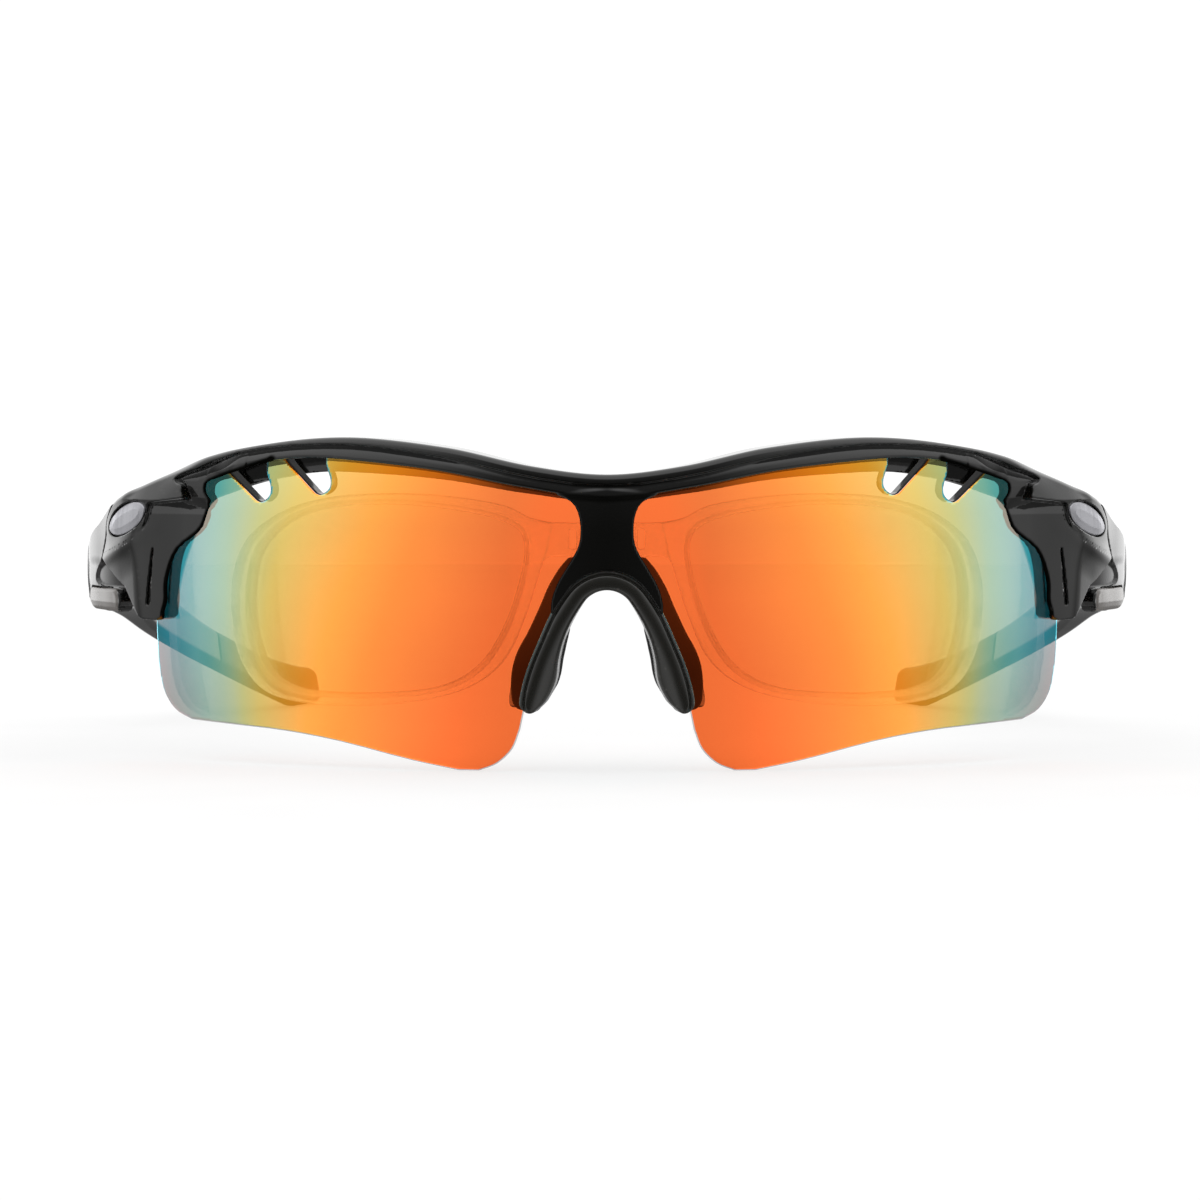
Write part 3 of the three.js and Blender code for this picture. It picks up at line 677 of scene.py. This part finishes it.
CHEEK_SEAM = smooth_line([(78.65, 35.5), (80.45, 33.1), (80.45, 30.7), (81.45, 27.9)], 10)
SCOOP = smooth_line([
    (82.4, 27), (83.8, 26.2), (84.3, 24.9), (83.4, 24), (81.4, 23.6), (79, 23.6), (77.2, 23.5), (76.2, 22.9),
], 16)
CHEEK_TOE = smooth_line([(76.2, 22.9), (75.9, 21.7), (76.6, 20.6), (77.8, 20.2)], 6)
CHEEK_END = 96.0
CHEEK = [
    (78.4, 35.7), *CHEEK_SEAM[1:], *SCOOP, *CHEEK_TOE, (83, 20.2), (88, 20.6),
    (CHEEK_END, 20.1), (CHEEK_END, 29), (88, 30.6), (84.3, 32.4), (82, 33.9),
]
SCOOP_WEB = [
    (81.5, 27.9), (80.1, 26.4), (77.3, 24.5), (76, 23.9), (75.9, 22.6), (79, 22.6), (85, 23), (85, 28),
]
CAP = [(76.5, 87.8), (20.3, 23.5)]


def cap_shape(s, z):
    """Distance to the hinge cap's rounded rectangle."""
    return box_field(CAP, 1.5, s, z)


def temple_section(s, z, n, inset=0.0, radius=1.3):
    """The temple's crowned bar between its four lines."""
    low, high = temple_bottom(s) + inset, temple_top(s) - inset
    inner, outer = temple_inner(s) + inset, temple_outer(s) - inset
    middle = (low + high) / 2
    crown = 0.9 * ((z - middle) / (high - low)) ** 2
    return both(slab(low, high, z), np.maximum(n - outer + crown, inner - n), radius)


def cheek(s, z, n):
    """The temple's stepped front end, whose outer face is scooped out behind the jaw."""
    outer = temple_outer(s) - 0.012 * (z - 28) ** 2 * ramp(79, 84, s)
    hollow = 0.25 * bump_at(26.4, 1.1, z) * ramp(80, 83, s) * (1 - ramp(86, 92, s))
    plate = both(polygon(CHEEK, s, z), n - outer + hollow, 0.22)
    plate = np.maximum(plate, s - CHEEK_END)
    web = both(polygon(SCOOP_WEB, s, z), n - 1.1 - 0.22 * (s - 77), 0.3)
    return blend(np.maximum(plate, 0.5 - n), np.maximum(web, 0.5 - n), 0.5)


def arm_field(s, z, n):
    """The temple up to its soft tip, with a pocket for the cap and a groove where the tip starts."""
    body = np.maximum(temple_section(s, z, n), np.maximum(91 - s, s - SLEEVE_START))
    arm = blend(cheek(s, z, n), body, 0.9)
    pocket = np.maximum(cap_shape(s, z) - 0.13, temple_outer(s) - 1.1 - n)
    arm = both(arm, -pocket, 0.08)
    join_groove = both(slab(SLEEVE_START - 0.5, SLEEVE_START + 0.5, s), -temple_section(s, z, n, 0.35))
    return np.maximum(arm, -join_groove)


def cap_field(s, z, n):
    """The hinge cap, level with the temple's outer face and turned in along its lower edge."""
    outer = temple_outer(s)
    crown = 0.25 * np.maximum(21.6 - z, 0)
    return both(both(cap_shape(s, z), n - outer + crown + 0.02, 0.6), outer - 1.0 - n)


def tip_field(s, z, n):
    """The soft tip, with grip ribs on the side towards the head."""
    ends = both(temple_section(s, z, n, radius=1.5), s - TIP_END, 2.0)
    ends = np.maximum(ends, SLEEVE_START + 0.15 - s)
    grip = 0.14 * np.cos(2 * math.pi * (s - SLEEVE_START) / 3.2) * ramp(166, 170, s) * (1 - ramp(186, 190, s))
    inner_side = ramp(0.4, 1.0, -n)
    return ends + np.maximum(grip, 0) * inner_side


# ---- nose piece ----
grip_reach = curve([(8.5, 1.8), (9.6, 2.5), (12.4, 2.95), (15.5, 2.35), (18, 1.95), (22, 1.7), (26.4, 1.8)])
grip_lip = curve([(8.5, 0.35), (9.6, 0.7), (12, 1.05), (18, 1.05), (23, 1.25), (26.4, 1.0)])
# The wing's and the pad's side outlines are in (z, n).
WING_SHAPE = closed_line([
    (9.6, -4), (8.2, -8.2), (8.9, -10.2), (12.5, -10.6), (17, -9.6), (20.4, -7.2), (22.4, -3.4), (16, -2.9),
], 32)
WEB_SIDE = smooth_line([
    (5.4, 28.9), (6.8, 27.3), (8.3, 24.8), (9.2, 22.7), (10.2, 20.6), (11.2, 18.6), (12.5, 16.4),
    (13.3, 14.2), (13.6, 12), (13.6, 10.6), (13.45, 9.3), (12.8, 8.4), (11.8, 8.2), (11, 8.7),
], 28)
WEB_HALF = [(0, 29.6), *WEB_SIDE, (9, 10), (4, 22), (0, 25)]
WEB_SHAPE = WEB_HALF + mirrored(WEB_HALF[1:-1])
PAD_SHAPE = closed_line([
    (9, -5), (8.5, -9.6), (9.8, -12.2), (13.2, -12.8), (17.2, -11.4), (19.8, -8), (19.9, -4.6), (15, -3.9),
], 32)


def carrier_field(s, z, n):
    """A saddle that grips the lens's nose edge, with a bead round it, two wings and a thin web behind."""
    s = np.abs(s)
    out = polygon(NOSE_HOLE, s, z)
    crown = 2.15 - 0.3 * (out + 0.35) ** 2
    bead = grip_lip(z) - 0.28
    crown = crown - 0.3 * bump_at(bead - 0.35, 0.14, out) + 0.12 * bump_at(bead, 0.16, out)
    front = both(out - grip_lip(z), n - crown, 0.16)
    section = both(both(front, -grip_reach(z) - out, 0.55), -4 - n, 0.4)
    groove = np.maximum(-0.42 - out, slab(-2.15, 0.1, n))
    section = np.maximum(section, -groove)
    ends = both(section, 7.9 - z + 0.25 * (out + 1), 1.1)
    centre = -0.8 - (n + 3.2) * 0.66
    wing = both(np.abs(out - centre) - 0.5, polygon(WING_SHAPE, z, n), 0.35)
    web = both(polygon(WEB_SHAPE, s, z), slab(-4.2, -2.35, n), 0.3)
    web = np.maximum(web, -0.3 - out)
    return np.minimum(blend(ends, wing, 0.5), web)


def pad_field(s, z, n):
    """A soft pad whose front edge just shows inside the saddle."""
    out = polygon(NOSE_HOLE, np.abs(s), z)
    centre = 0.36 - grip_reach(z) - (n + 4.3) * 0.72
    thick = 0.62 + 0.35 * ramp(9, 12.5, -n)
    ribs = 0.07 * np.cos(2 * math.pi * z / 1.6) * ramp(-5, -6.5, n) * (out < centre)
    return both(np.abs(out - centre) - thick + ribs, polygon(PAD_SHAPE, z, n), 0.55)


# ---- prescription insert ----
RIM_OUTER = smooth_line([
    (8.5, 33.2), (12, 34.2), (16.3, 35.9), (26, 37.1), (36, 37.3), (45, 36.6), (53, 34.6),
    (59.4, 31), (62.4, 26), (63, 20), (61.4, 13.8), (57, 9.6), (49, 8.1), (39, 8),
    (29, 8.9), (21, 11), (15.6, 14.8), (12.3, 20.9), (9.6, 28.4),
], 76)
RIM_INNER = closed_line([
    (14.6, 33.2), (21, 34.8), (32, 35.8), (44, 35.3), (52, 33.2), (57.6, 29.2), (59.4, 24), (59, 18),
    (56.8, 12.8), (51.5, 10.3), (44, 9.8), (35, 10), (26, 11), (19.8, 13.8), (15.8, 18.8),
    (13.2, 25.2), (12.4, 30.6),
], 68)
BRIDGE_HALF = [(0, 28.9), (8, 28.9), (11.4, 27.9), (11.4, 33.8), (8, 33.5), (0, 33.4)]
BRIDGE = BRIDGE_HALF + mirrored(BRIDGE_HALF)
RIM_MIDDLE = -8.2
BRIDGE_MIDDLE = -8.0


def insert_field(s, z, n):
    """Two rims with a lens groove inside, and the bridge with the boss's window and two flex slots."""
    s = np.abs(s)
    opening = polygon(RIM_INNER, s, z)
    rim = both(both(polygon(RIM_OUTER, s, z), -opening, 0.4), np.abs(n - RIM_MIDDLE) - 1.3, 0.5)
    groove = np.maximum(opening - 0.8, np.abs(n - RIM_MIDDLE) - 0.6)
    bridge = both(polygon(BRIDGE, s, z), np.abs(n - BRIDGE_MIDDLE) - 1.1, 0.35)
    window = box_field([(-3.2, 3.2), (30, 32.4), (-20, 0)], 0.1, s, z, n)
    slot = box_field([(4.6, 5.7), (29.9, 32.6), (-20, 0)], 0.3, s, z, n)
    whole = both(blend(rim, bridge, 0.5), -np.minimum(window, slot), 0.12)
    return np.maximum(whole, -groove)


def insert_lens_field(s, z, n):
    return both(polygon(RIM_INNER, s, z) - 0.6, np.abs(n - RIM_MIDDLE) - 0.45, 0.2)


# ---- materials ----
WHITE = (1, 1, 1, 1)


def opaque(colour):
    """A colour (r, g, b) with its alpha."""
    return (*colour, 1)


class Nodes:
    """The node tree of a material or a world, built by name."""

    def __init__(self, owner):
        self.owner = owner
        owner.use_nodes = True
        self.tree = owner.node_tree
        self.tree.nodes.clear()

    def add(self, kind, inputs=None, **settings):
        node = self.tree.nodes.new("ShaderNode" + kind)
        for key, value in settings.items():
            setattr(node, key, value)
        for key, value in (inputs or {}).items():
            socket = node.inputs[key]
            if isinstance(value, bpy.types.NodeSocket):
                self.tree.links.new(value, socket)
            else:
                socket.default_value = value
        return node

    def math(self, operation, a, b=0.0, c=0.0):
        return self.add("Math", {0: a, 1: b, 2: c}, operation=operation).outputs[0]

    def vector(self, operation, a, b=(0, 0, 0)):
        return self.add("VectorMath", {0: a, 1: b}, operation=operation)

    def range(self, value, low, high, start=0.0, end=1.0):
        inputs = {"Value": value, "From Min": start, "From Max": end, "To Min": low, "To Max": high}
        return self.add("MapRange", inputs).outputs["Result"]

    def ramp(self, value, stops):
        """Colours (r, g, b), or greys, over a value from 0 to 1."""
        node = self.add("ValToRGB", {"Fac": value})
        elements = node.color_ramp.elements
        while len(elements) < len(stops):
            elements.new(0.5)
        for element, (position, colour) in zip(elements, stops):
            element.position = position
            element.color = opaque(colour if isinstance(colour, tuple) else (colour,) * 3)
        return node.outputs["Color"]

    def tone(self, factor, first, second, blend_type="MIX"):
        """A colour between two others."""
        inputs = {"Factor": factor, "A": first, "B": second}
        node = self.add("Mix", inputs, data_type="RGBA", blend_type=blend_type)
        return node.outputs["Result"]

    def noise(self, scale, detail, stretch=(1, 1, 1)):
        place = self.add("TexCoord").outputs["Object"]
        mapped = self.add("Mapping", {"Vector": place, "Scale": stretch})
        inputs = {"Vector": mapped.outputs[0], "Scale": scale, "Detail": detail}
        return self.add("TexNoise", inputs).outputs["Fac"]

    def bump(self, height, strength, distance):
        inputs = {"Height": height, "Strength": strength, "Distance": distance}
        return self.add("Bump", inputs).outputs["Normal"]

    def attribute(self, name):
        return self.add("Attribute", attribute_name=name).outputs["Fac"]

    def ray(self, kind):
        return self.add("LightPath").outputs[kind]

    def clear(self, colour):
        return self.add("BsdfTransparent", {"Color": colour}).outputs[0]

    def glossy(self, colour, rough, **inputs):
        inputs = {"Color": colour, "Roughness": rough, **inputs}
        return self.add("BsdfGlossy", inputs).outputs[0]

    def principled(self, colour, rough, **inputs):
        inputs = {"Base Color": colour, "Roughness": rough, **inputs}
        return self.add("BsdfPrincipled", inputs).outputs[0]

    def mix(self, factor, first, second):
        return self.add("MixShader", {0: factor, 1: first, 2: second}).outputs[0]

    def sum(self, first, second):
        return self.add("AddShader", {0: first, 1: second}).outputs[0]

    def let_light_through(self, shader, colour):
        """Shadow rays pass, tinted, so that what lies behind stays lit."""
        return self.mix(self.ray("Is Shadow Ray"), shader, self.clear(colour))

    def finish(self, shader, kind="OutputMaterial"):
        output = self.add(kind)
        self.tree.links.new(shader, output.inputs["Surface"])
        return self.owner


def material_nodes(name):
    return Nodes(bpy.data.materials.new(name))


def worn_plastic(name, colour, edge_colour, rough, peel=0.02, cuts=False):
    """Moulded plastic: faint orange peel, handling haze in the gloss and slightly paler worn edges.

    With cuts, the walls that the mesh marks "cut" are dull, and the lens mirrors the plastic weakly.
    """
    n = material_nodes(name)
    haze = n.noise(60, 5)
    grain = n.noise(2600, 3)
    scratches = n.noise(900, 6, (1, 0.06, 1))
    worn = n.range(n.add("NewGeometry").outputs["Pointiness"], 0, 0.5, 0.54, 0.64)
    smears = n.range(haze, rough * 0.7, rough * 1.5, 0.35, 0.7)
    peeled = n.bump(n.math("ADD", grain, n.math("MULTIPLY", haze, 2.0)), peel, 0.0002)
    shader = n.principled(
        n.tone(worn, opaque(colour), opaque(edge_colour)),
        n.math("ADD", smears, n.range(scratches, 0, 0.05, 0.55, 0.8)),
        **{
            "Normal": peeled,
            "Specular IOR Level": n.range(n.attribute("cut"), 0.5, 0.0) if cuts else 0.5,
            "IOR": 1.5,
        },
    )
    if cuts:
        shader = n.mix(n.math("MULTIPLY", n.ray("Is Glossy Ray"), 0.4), shader, n.clear(WHITE))
    return n.finish(shader)


def brushed_metal(name, colour, rough):
    """Metal with fine brush lines and a little tarnish."""
    n = material_nodes(name)
    lines = n.noise(1500, 4, (1, 1, 0.05))
    tarnish = n.range(n.noise(120, 5), 0, 0.6, 0.5, 0.8)
    darker = [0.75 * c for c in colour]
    shader = n.principled(
        n.tone(tarnish, opaque(colour), opaque(darker)),
        n.range(lines, rough * 0.8, rough * 1.3, 0.3, 0.7),
        Metallic=1.0,
        Normal=n.bump(lines, 0.05, 0.0001),
    )
    return n.finish(shader)


# Coating colours over the angle from straight on, in degrees: what it mirrors and what it lets through.
COATING = [
    (0, (0.72, 0.12, 0.025), (0.86, 0.157, 0.038)),
    (9, (0.72, 0.12, 0.025), (0.84, 0.157, 0.038)),
    (21.3, (0.75, 0.17, 0.010), (0.55, 0.19, 0.054)),
    (27, (0.72, 0.21, 0.010), (0.41, 0.24, 0.072)),
    (32.4, (0.56, 0.25, 0.020), (0.33, 0.27, 0.120)),
    (36, (0.50, 0.34, 0.060), (0.26, 0.23, 0.110)),
    (39, (0.37, 0.40, 0.150), (0.23, 0.19, 0.100)),
    (42.3, (0.18, 0.38, 0.270), (0.27, 0.21, 0.160)),
    (44.4, (0.09, 0.34, 0.310), (0.33, 0.26, 0.200)),
    (49.7, (0.02, 0.33, 0.420), (0.37, 0.26, 0.220)),
    (52.8, (0.01, 0.36, 0.460), (0.48, 0.30, 0.280)),
    (57, (0.00, 0.42, 0.520), (0.50, 0.30, 0.250)),
    (75, (0.30, 0.60, 0.700), (0.35, 0.28, 0.230)),
    (90, (0.90, 0.90, 0.900), (0.05, 0.05, 0.050)),
]


def level_angle(n, geometry):
    """The angle between the view and the surface's normal, both laid flat: 0 straight on, 1 edge on."""
    directions = []
    for key in ("Normal", "Incoming"):
        level = n.vector("MULTIPLY", geometry.outputs[key], (1, 1, 0)).outputs[0]
        directions.append(n.vector("NORMALIZE", level).outputs[0])
    facing = n.vector("DOT_PRODUCT", *directions).outputs["Value"]
    cosine = n.math("MINIMUM", n.math("ABSOLUTE", facing), 0.99999)
    return n.math("DIVIDE", n.math("ARCCOSINE", cosine), math.pi / 2)


def coat_angle(n, geometry):
    """The angle that picks the coating's colour. The coat is thicker higher up, mostly near the nose."""
    angle = level_angle(n, geometry)
    height = n.add("SeparateXYZ", {0: geometry.outputs["Position"]}).outputs["Z"]
    near_nose = n.range(angle, 1.0, 0.2, 30 / 90, 42 / 90)
    thicker = n.math("MULTIPLY", n.math("MULTIPLY_ADD", height, 3.7, -0.1), near_nose)
    return n.math("MAXIMUM", n.math("ADD", angle, thicker), 0.0)


def lens_material():
    """A mirror coating on the front face whose colour turns with the angle, over a clear sheet.

    The mesh carries n as "depth", and the distances to the outline and to the vents as "rim" and "vent".
    """
    n = material_nodes("mirror_lens")
    geometry = n.add("NewGeometry")
    angle = coat_angle(n, geometry)
    mirror = n.ramp(angle, [(a / 90, r) for a, r, _ in COATING])
    through = n.clear(n.ramp(angle, [(a / 90, t) for a, _, t in COATING]))
    rough = n.range(n.noise(45, 4), 0.0, 0.06, 0.45, 0.8)
    wave = n.bump(n.noise(14, 2), 0.06, 0.0004)
    shine = n.glossy(WHITE, 0.02)

    outside = n.sum(n.glossy(mirror, rough, Normal=wave), through)
    inside = n.mix(0.04, through, shine)
    coated = n.mix(geometry.outputs["Backfacing"], outside, inside)
    fresnel = n.add("LayerWeight", {"Blend": 0.25}).outputs["Fresnel"]
    uncoated = n.mix(n.math("MULTIPLY", fresnel, 0.35), n.clear((0.97, 0.97, 0.97, 1)), shine)
    depth = n.attribute("depth")
    sheet = n.mix(n.math("GREATER_THAN", depth, -0.25), uncoated, coated)

    # Painted shade on the lens's edges: the vents' walls are painted black, and the outline's wall half black
    # just behind the front face, where the clear edge looks dark through refraction.
    front_edge_shade = n.math("MULTIPLY", n.math("GREATER_THAN", depth, -0.3), 0.5)
    painted_edge_shade = n.math("MAXIMUM", front_edge_shade, n.math("LESS_THAN", n.attribute("vent"), 0.12))
    edge_shade_paint = n.principled((0.006, 0.006, 0.005, 1), 0.15)
    edge = n.mix(painted_edge_shade, n.clear((0.98, 0.98, 0.98, 1)), edge_shade_paint)
    whole = n.mix(n.math("GREATER_THAN", n.attribute("rim"), -0.16), sheet, edge)
    return n.finish(n.let_light_through(whole, (0.93, 0.92, 0.9, 1)))


def clear_plastic(name, tint, gloss, milk=0.0):
    """Clear moulded plastic drawn without refraction: clear face on, shiny and darker at a slant."""
    n = material_nodes(name)
    facing = n.add("LayerWeight", {"Blend": 0.35})
    slant = n.math("POWER", facing.outputs["Facing"], 3.0)
    darker = [0.72 * c for c in tint]
    clear = n.clear(n.tone(slant, opaque(tint), opaque(darker)))
    cloud = n.add("BsdfTranslucent", {"Color": (0.9, 0.88, 0.86, 1)}).outputs[0]
    flow = n.noise(70, 3)
    shine = n.glossy(WHITE, n.range(flow, 0.03, 0.12), Normal=n.bump(flow, 0.05, 0.0004))
    glint = n.math("MULTIPLY", facing.outputs["Fresnel"], gloss)
    whole = n.mix(glint, n.mix(milk, clear, cloud), shine)
    return n.finish(n.let_light_through(whole, (0.95, 0.95, 0.95, 1)))


BLACK = (0.0022, 0.0022, 0.0018)
BLACK_EDGE = (0.02, 0.019, 0.018)
gloss_black = worn_plastic("gloss_black", BLACK, BLACK_EDGE, 0.07)
shell_black = worn_plastic("shell_black", BLACK, BLACK_EDGE, 0.07, cuts=True)
satin_black = worn_plastic("satin_black", (0.012, 0.0115, 0.0095), (0.05, 0.048, 0.044), 0.24)
temple_black = worn_plastic("temple_black", (0.003, 0.0028, 0.0026), (0.025, 0.024, 0.022), 0.09)
cap_grey = worn_plastic("cap_grey", (0.11, 0.10, 0.092), (0.16, 0.15, 0.14), 0.25)
soft_rubber = worn_plastic("soft_rubber", (0.018, 0.018, 0.018), (0.04, 0.04, 0.04), 0.45, peel=0.25)
badge_silver = brushed_metal("badge_silver", (0.30, 0.30, 0.32), 0.36)
screw_steel = brushed_metal("screw_steel", (0.62, 0.62, 0.64), 0.28)
sleeve_brass = brushed_metal("sleeve_brass", (0.70, 0.50, 0.24), 0.32)
mirror_lens = lens_material()
insert_clear = clear_plastic("insert_clear", (0.965, 0.965, 0.96), 0.5, milk=0.2)
insert_lens_clear = clear_plastic("insert_lens_clear", (0.98, 0.98, 0.975), 0.35)


# ---- pieces ----
# Each has its name, field, low and high corner, grid cell, body, CAD node and material.
build(
    "front_shell", front_field, (-83, 18.5, -11), (83, 46.2, 3.6), (0.24, 0.19, 0.19),
    "front", "front_frame", shell_black, {"cut": cut_walls},
)
build(
    "lens_sheet", lens_field, (-72, -0.6, -2.6), (72, 44.2, 0.6), (0.34, 0.34, 0.25),
    "front", "shield_lens", mirror_lens,
    {
        "depth": lambda s, z, n: n,
        "rim": lambda s, z, n: lens_shape(s, z),
        "vent": lambda s, z, n: vent_shape(s, z),
    },
)
build(
    "nose_saddle", carrier_field, (-19, 7.4, -12), (19, 30, 2.8), 0.17,
    "front", "nose_carrier", satin_black,
)
build(
    "insert_rim", insert_field, (-64, 7, -10.2), (64, 38.2, -6.2), (0.3, 0.3, 0.25),
    "insert", "insert_frame", insert_clear,
)
build_pair(
    "insert_glass_{}", insert_lens_field, (11, 8, -9.2), (61, 37.4, -7.2), (0.5, 0.5, 0.25),
    "insert", "insert_lens_{}", insert_lens_clear,
)
build_pair(
    "nose_cushion_{}", pad_field, (2, 7.5, -14.4), (18, 23.4, -3), 0.22,
    "front", "nose_pad_{}", soft_rubber,
)
build_pair(
    "badge_plate_{}", badge_field, (69.5, 30, 1.6), (80.2, 36.8, 3.6), (0.16, 0.16, 0.12),
    "front", "badge_{}", badge_silver,
)
build_pair(
    "hinge_knuckles_{}", knuckle_field, (61.2, 28.8, 20.8), (70.2, 46.8, 31.2), 0.2,
    "front", None, gloss_black, in_space,
)
build_pair(
    "hinge_eye_{}", eye_field, (64.8, 41.2, 24), (70.6, 52.4, 28), 0.2,
    "temple_{}", None, temple_black, in_space,
)
build_pair(
    "hinge_bolt_{}", screw_field, (65.6, 42.1, 20.8), (69.4, 45.9, 32.3), 0.11,
    "front", "hinge_screw_{}", screw_steel, in_space,
)
build_pair(
    "hinge_bush_{}", sleeve_field, (65.9, 42.4, 20.8), (69.1, 45.6, 24), 0.12,
    "front", "thread_sleeve_{}", sleeve_brass, in_space,
)
build_pair(
    "temple_{}_shell", arm_field, (75.2, 7.5, -6), (158.6, 37, 4.4), (0.27, 0.21, 0.21),
    "temple_{}", "temple_arm_{}", temple_black,
)
build_pair(
    "temple_{}_sock", tip_field, (157.5, -0.6, -3), (200.8, 15.2, 2.6), (0.4, 0.28, 0.28),
    "temple_{}", "temple_tip_{}", soft_rubber,
)
build_pair(
    "hinge_tile_{}", cap_field, (76.2, 19.8, 1.5), (88.4, 23.8, 4.2), (0.18, 0.16, 0.14),
    "temple_{}", "hinge_cap_{}", cap_grey,
)


# ---- stage, light and camera ----
# In metres from here on.
TABLE = {"side": 0.42, "front": -0.75, "back": 0.70, "top": -0.0001}

# Brightness of the tent's wall, and its dimming below the horizon, from the camera's side (0) round
# to behind the glasses (1), and how far the sky shows from the horizon (0) to overhead (1).
WALL_LIGHT = [
    (0, 0.01), (0.11, 0.025), (0.19, 0.11), (0.27, 0.17), (0.33, 0.21), (0.45, 0.21), (0.50, 0.19),
    (0.56, 0.10), (0.62, 0.16), (0.70, 0.50), (0.77, 0.60), (0.88, 0.32), (1, 0.24),
]
GROUND_DIM = [(0, 0.3), (0.15, 0.5), (0.3, 0.95), (0.5, 0.75), (0.68, 0.15), (1, 0.12)]
SKY_SHOWN = [(0, 0.0), (0.06, 0.0), (0.2, 0.5), (0.52, 1.0)]
SKY = (0.36, 0.36, 0.36, 1)
TENT_STRENGTH = 5.0
BACKDROP_STRENGTH = 1.08
TABLE_GLOW = 0.61

CAMERA_DISTANCE = 0.70  # from the lens
CAMERA_HEIGHT = 0.0535
CAMERA_TILT = math.radians(2.47)
CAMERA_SHIFT = -0.00583  # share of the picture's width
FOCAL_LENGTH = 156.48  # mm, on a 36 mm sensor


def floor():
    """A finite white table whose far edge is the horizon behind the glasses."""
    mesh = bpy.data.meshes.new("table_top")
    ends = [(-1, "front"), (1, "front"), (1, "back"), (-1, "back")]
    corners = [(side * TABLE["side"], TABLE[end], TABLE["top"]) for side, end in ends]
    mesh.from_pydata(corners, [], [(0, 1, 2, 3)])
    table = bpy.data.objects.new("table_top", mesh)
    table.visible_glossy = False
    bpy.context.scene.collection.objects.link(table)

    n = material_nodes("table_white")
    tone = n.range(n.noise(30, 3), 0.24, 0.27)
    colour = n.add("CombineColor", {0: tone, 1: tone, 2: tone}).outputs[0]
    soft = n.add("BsdfDiffuse", {"Color": colour}).outputs[0]
    glow = n.add("Emission", {"Color": WHITE, "Strength": TABLE_GLOW}).outputs[0]
    mesh.materials.append(n.finish(n.sum(soft, glow)))


def studio():
    """A white tent: bright behind and beside the glasses and overhead, dark where the camera stands."""
    world = bpy.data.worlds.new("studio")
    bpy.context.scene.world = world
    n = Nodes(world)
    direction = n.add("TexCoord").outputs["Generated"]
    x, y, z = n.add("SeparateXYZ", {0: direction}).outputs
    turn = n.math("ARCTAN2", n.math("ABSOLUTE", x), n.math("MULTIPLY", y, -1))
    azimuth = n.math("DIVIDE", turn, math.pi)
    rise = n.math("DIVIDE", n.math("ARCSINE", z), math.pi / 2)

    walls = n.ramp(azimuth, WALL_LIGHT)
    over_camera = n.range(rise, 0.0, 1.0, 0.35, 0.6)
    open_sky = n.math("MAXIMUM", n.range(azimuth, 0.15, 1.0, 0.1, 0.34), over_camera)
    upper = n.tone(n.math("MULTIPLY", n.ramp(rise, SKY_SHOWN), open_sky), walls, SKY)
    lower = n.tone(1.0, walls, n.ramp(azimuth, GROUND_DIM), blend_type="MULTIPLY")
    light = n.tone(n.range(rise, 0.0, 1.0, -0.16, -0.04), lower, upper)

    tent = n.add("Background", {"Color": light, "Strength": TENT_STRENGTH}).outputs[0]
    seen = n.add("Background", {"Color": WHITE, "Strength": BACKDROP_STRENGTH}).outputs[0]
    n.finish(n.mix(n.ray("Is Camera Ray"), tent, seen), "OutputWorld")


def camera():
    """The view: straight in front, just above the glasses, looking slightly down."""
    data = bpy.data.cameras.new("view")
    data.sensor_width = 36
    data.lens = FOCAL_LENGTH
    data.shift_x = CAMERA_SHIFT
    data.clip_start = 0.01
    data.clip_end = 20
    eye = bpy.data.objects.new("view", data)
    eye.location = (0, -CAMERA_DISTANCE - FRONT_TO_ORIGIN / 1000, CAMERA_HEIGHT)
    eye.rotation_euler = (math.pi / 2 - CAMERA_TILT, 0, 0)
    bpy.context.scene.collection.objects.link(eye)
    bpy.context.scene.camera = eye


floor()
studio()
camera()
bpy.context.scene.view_settings.view_transform = "Standard"
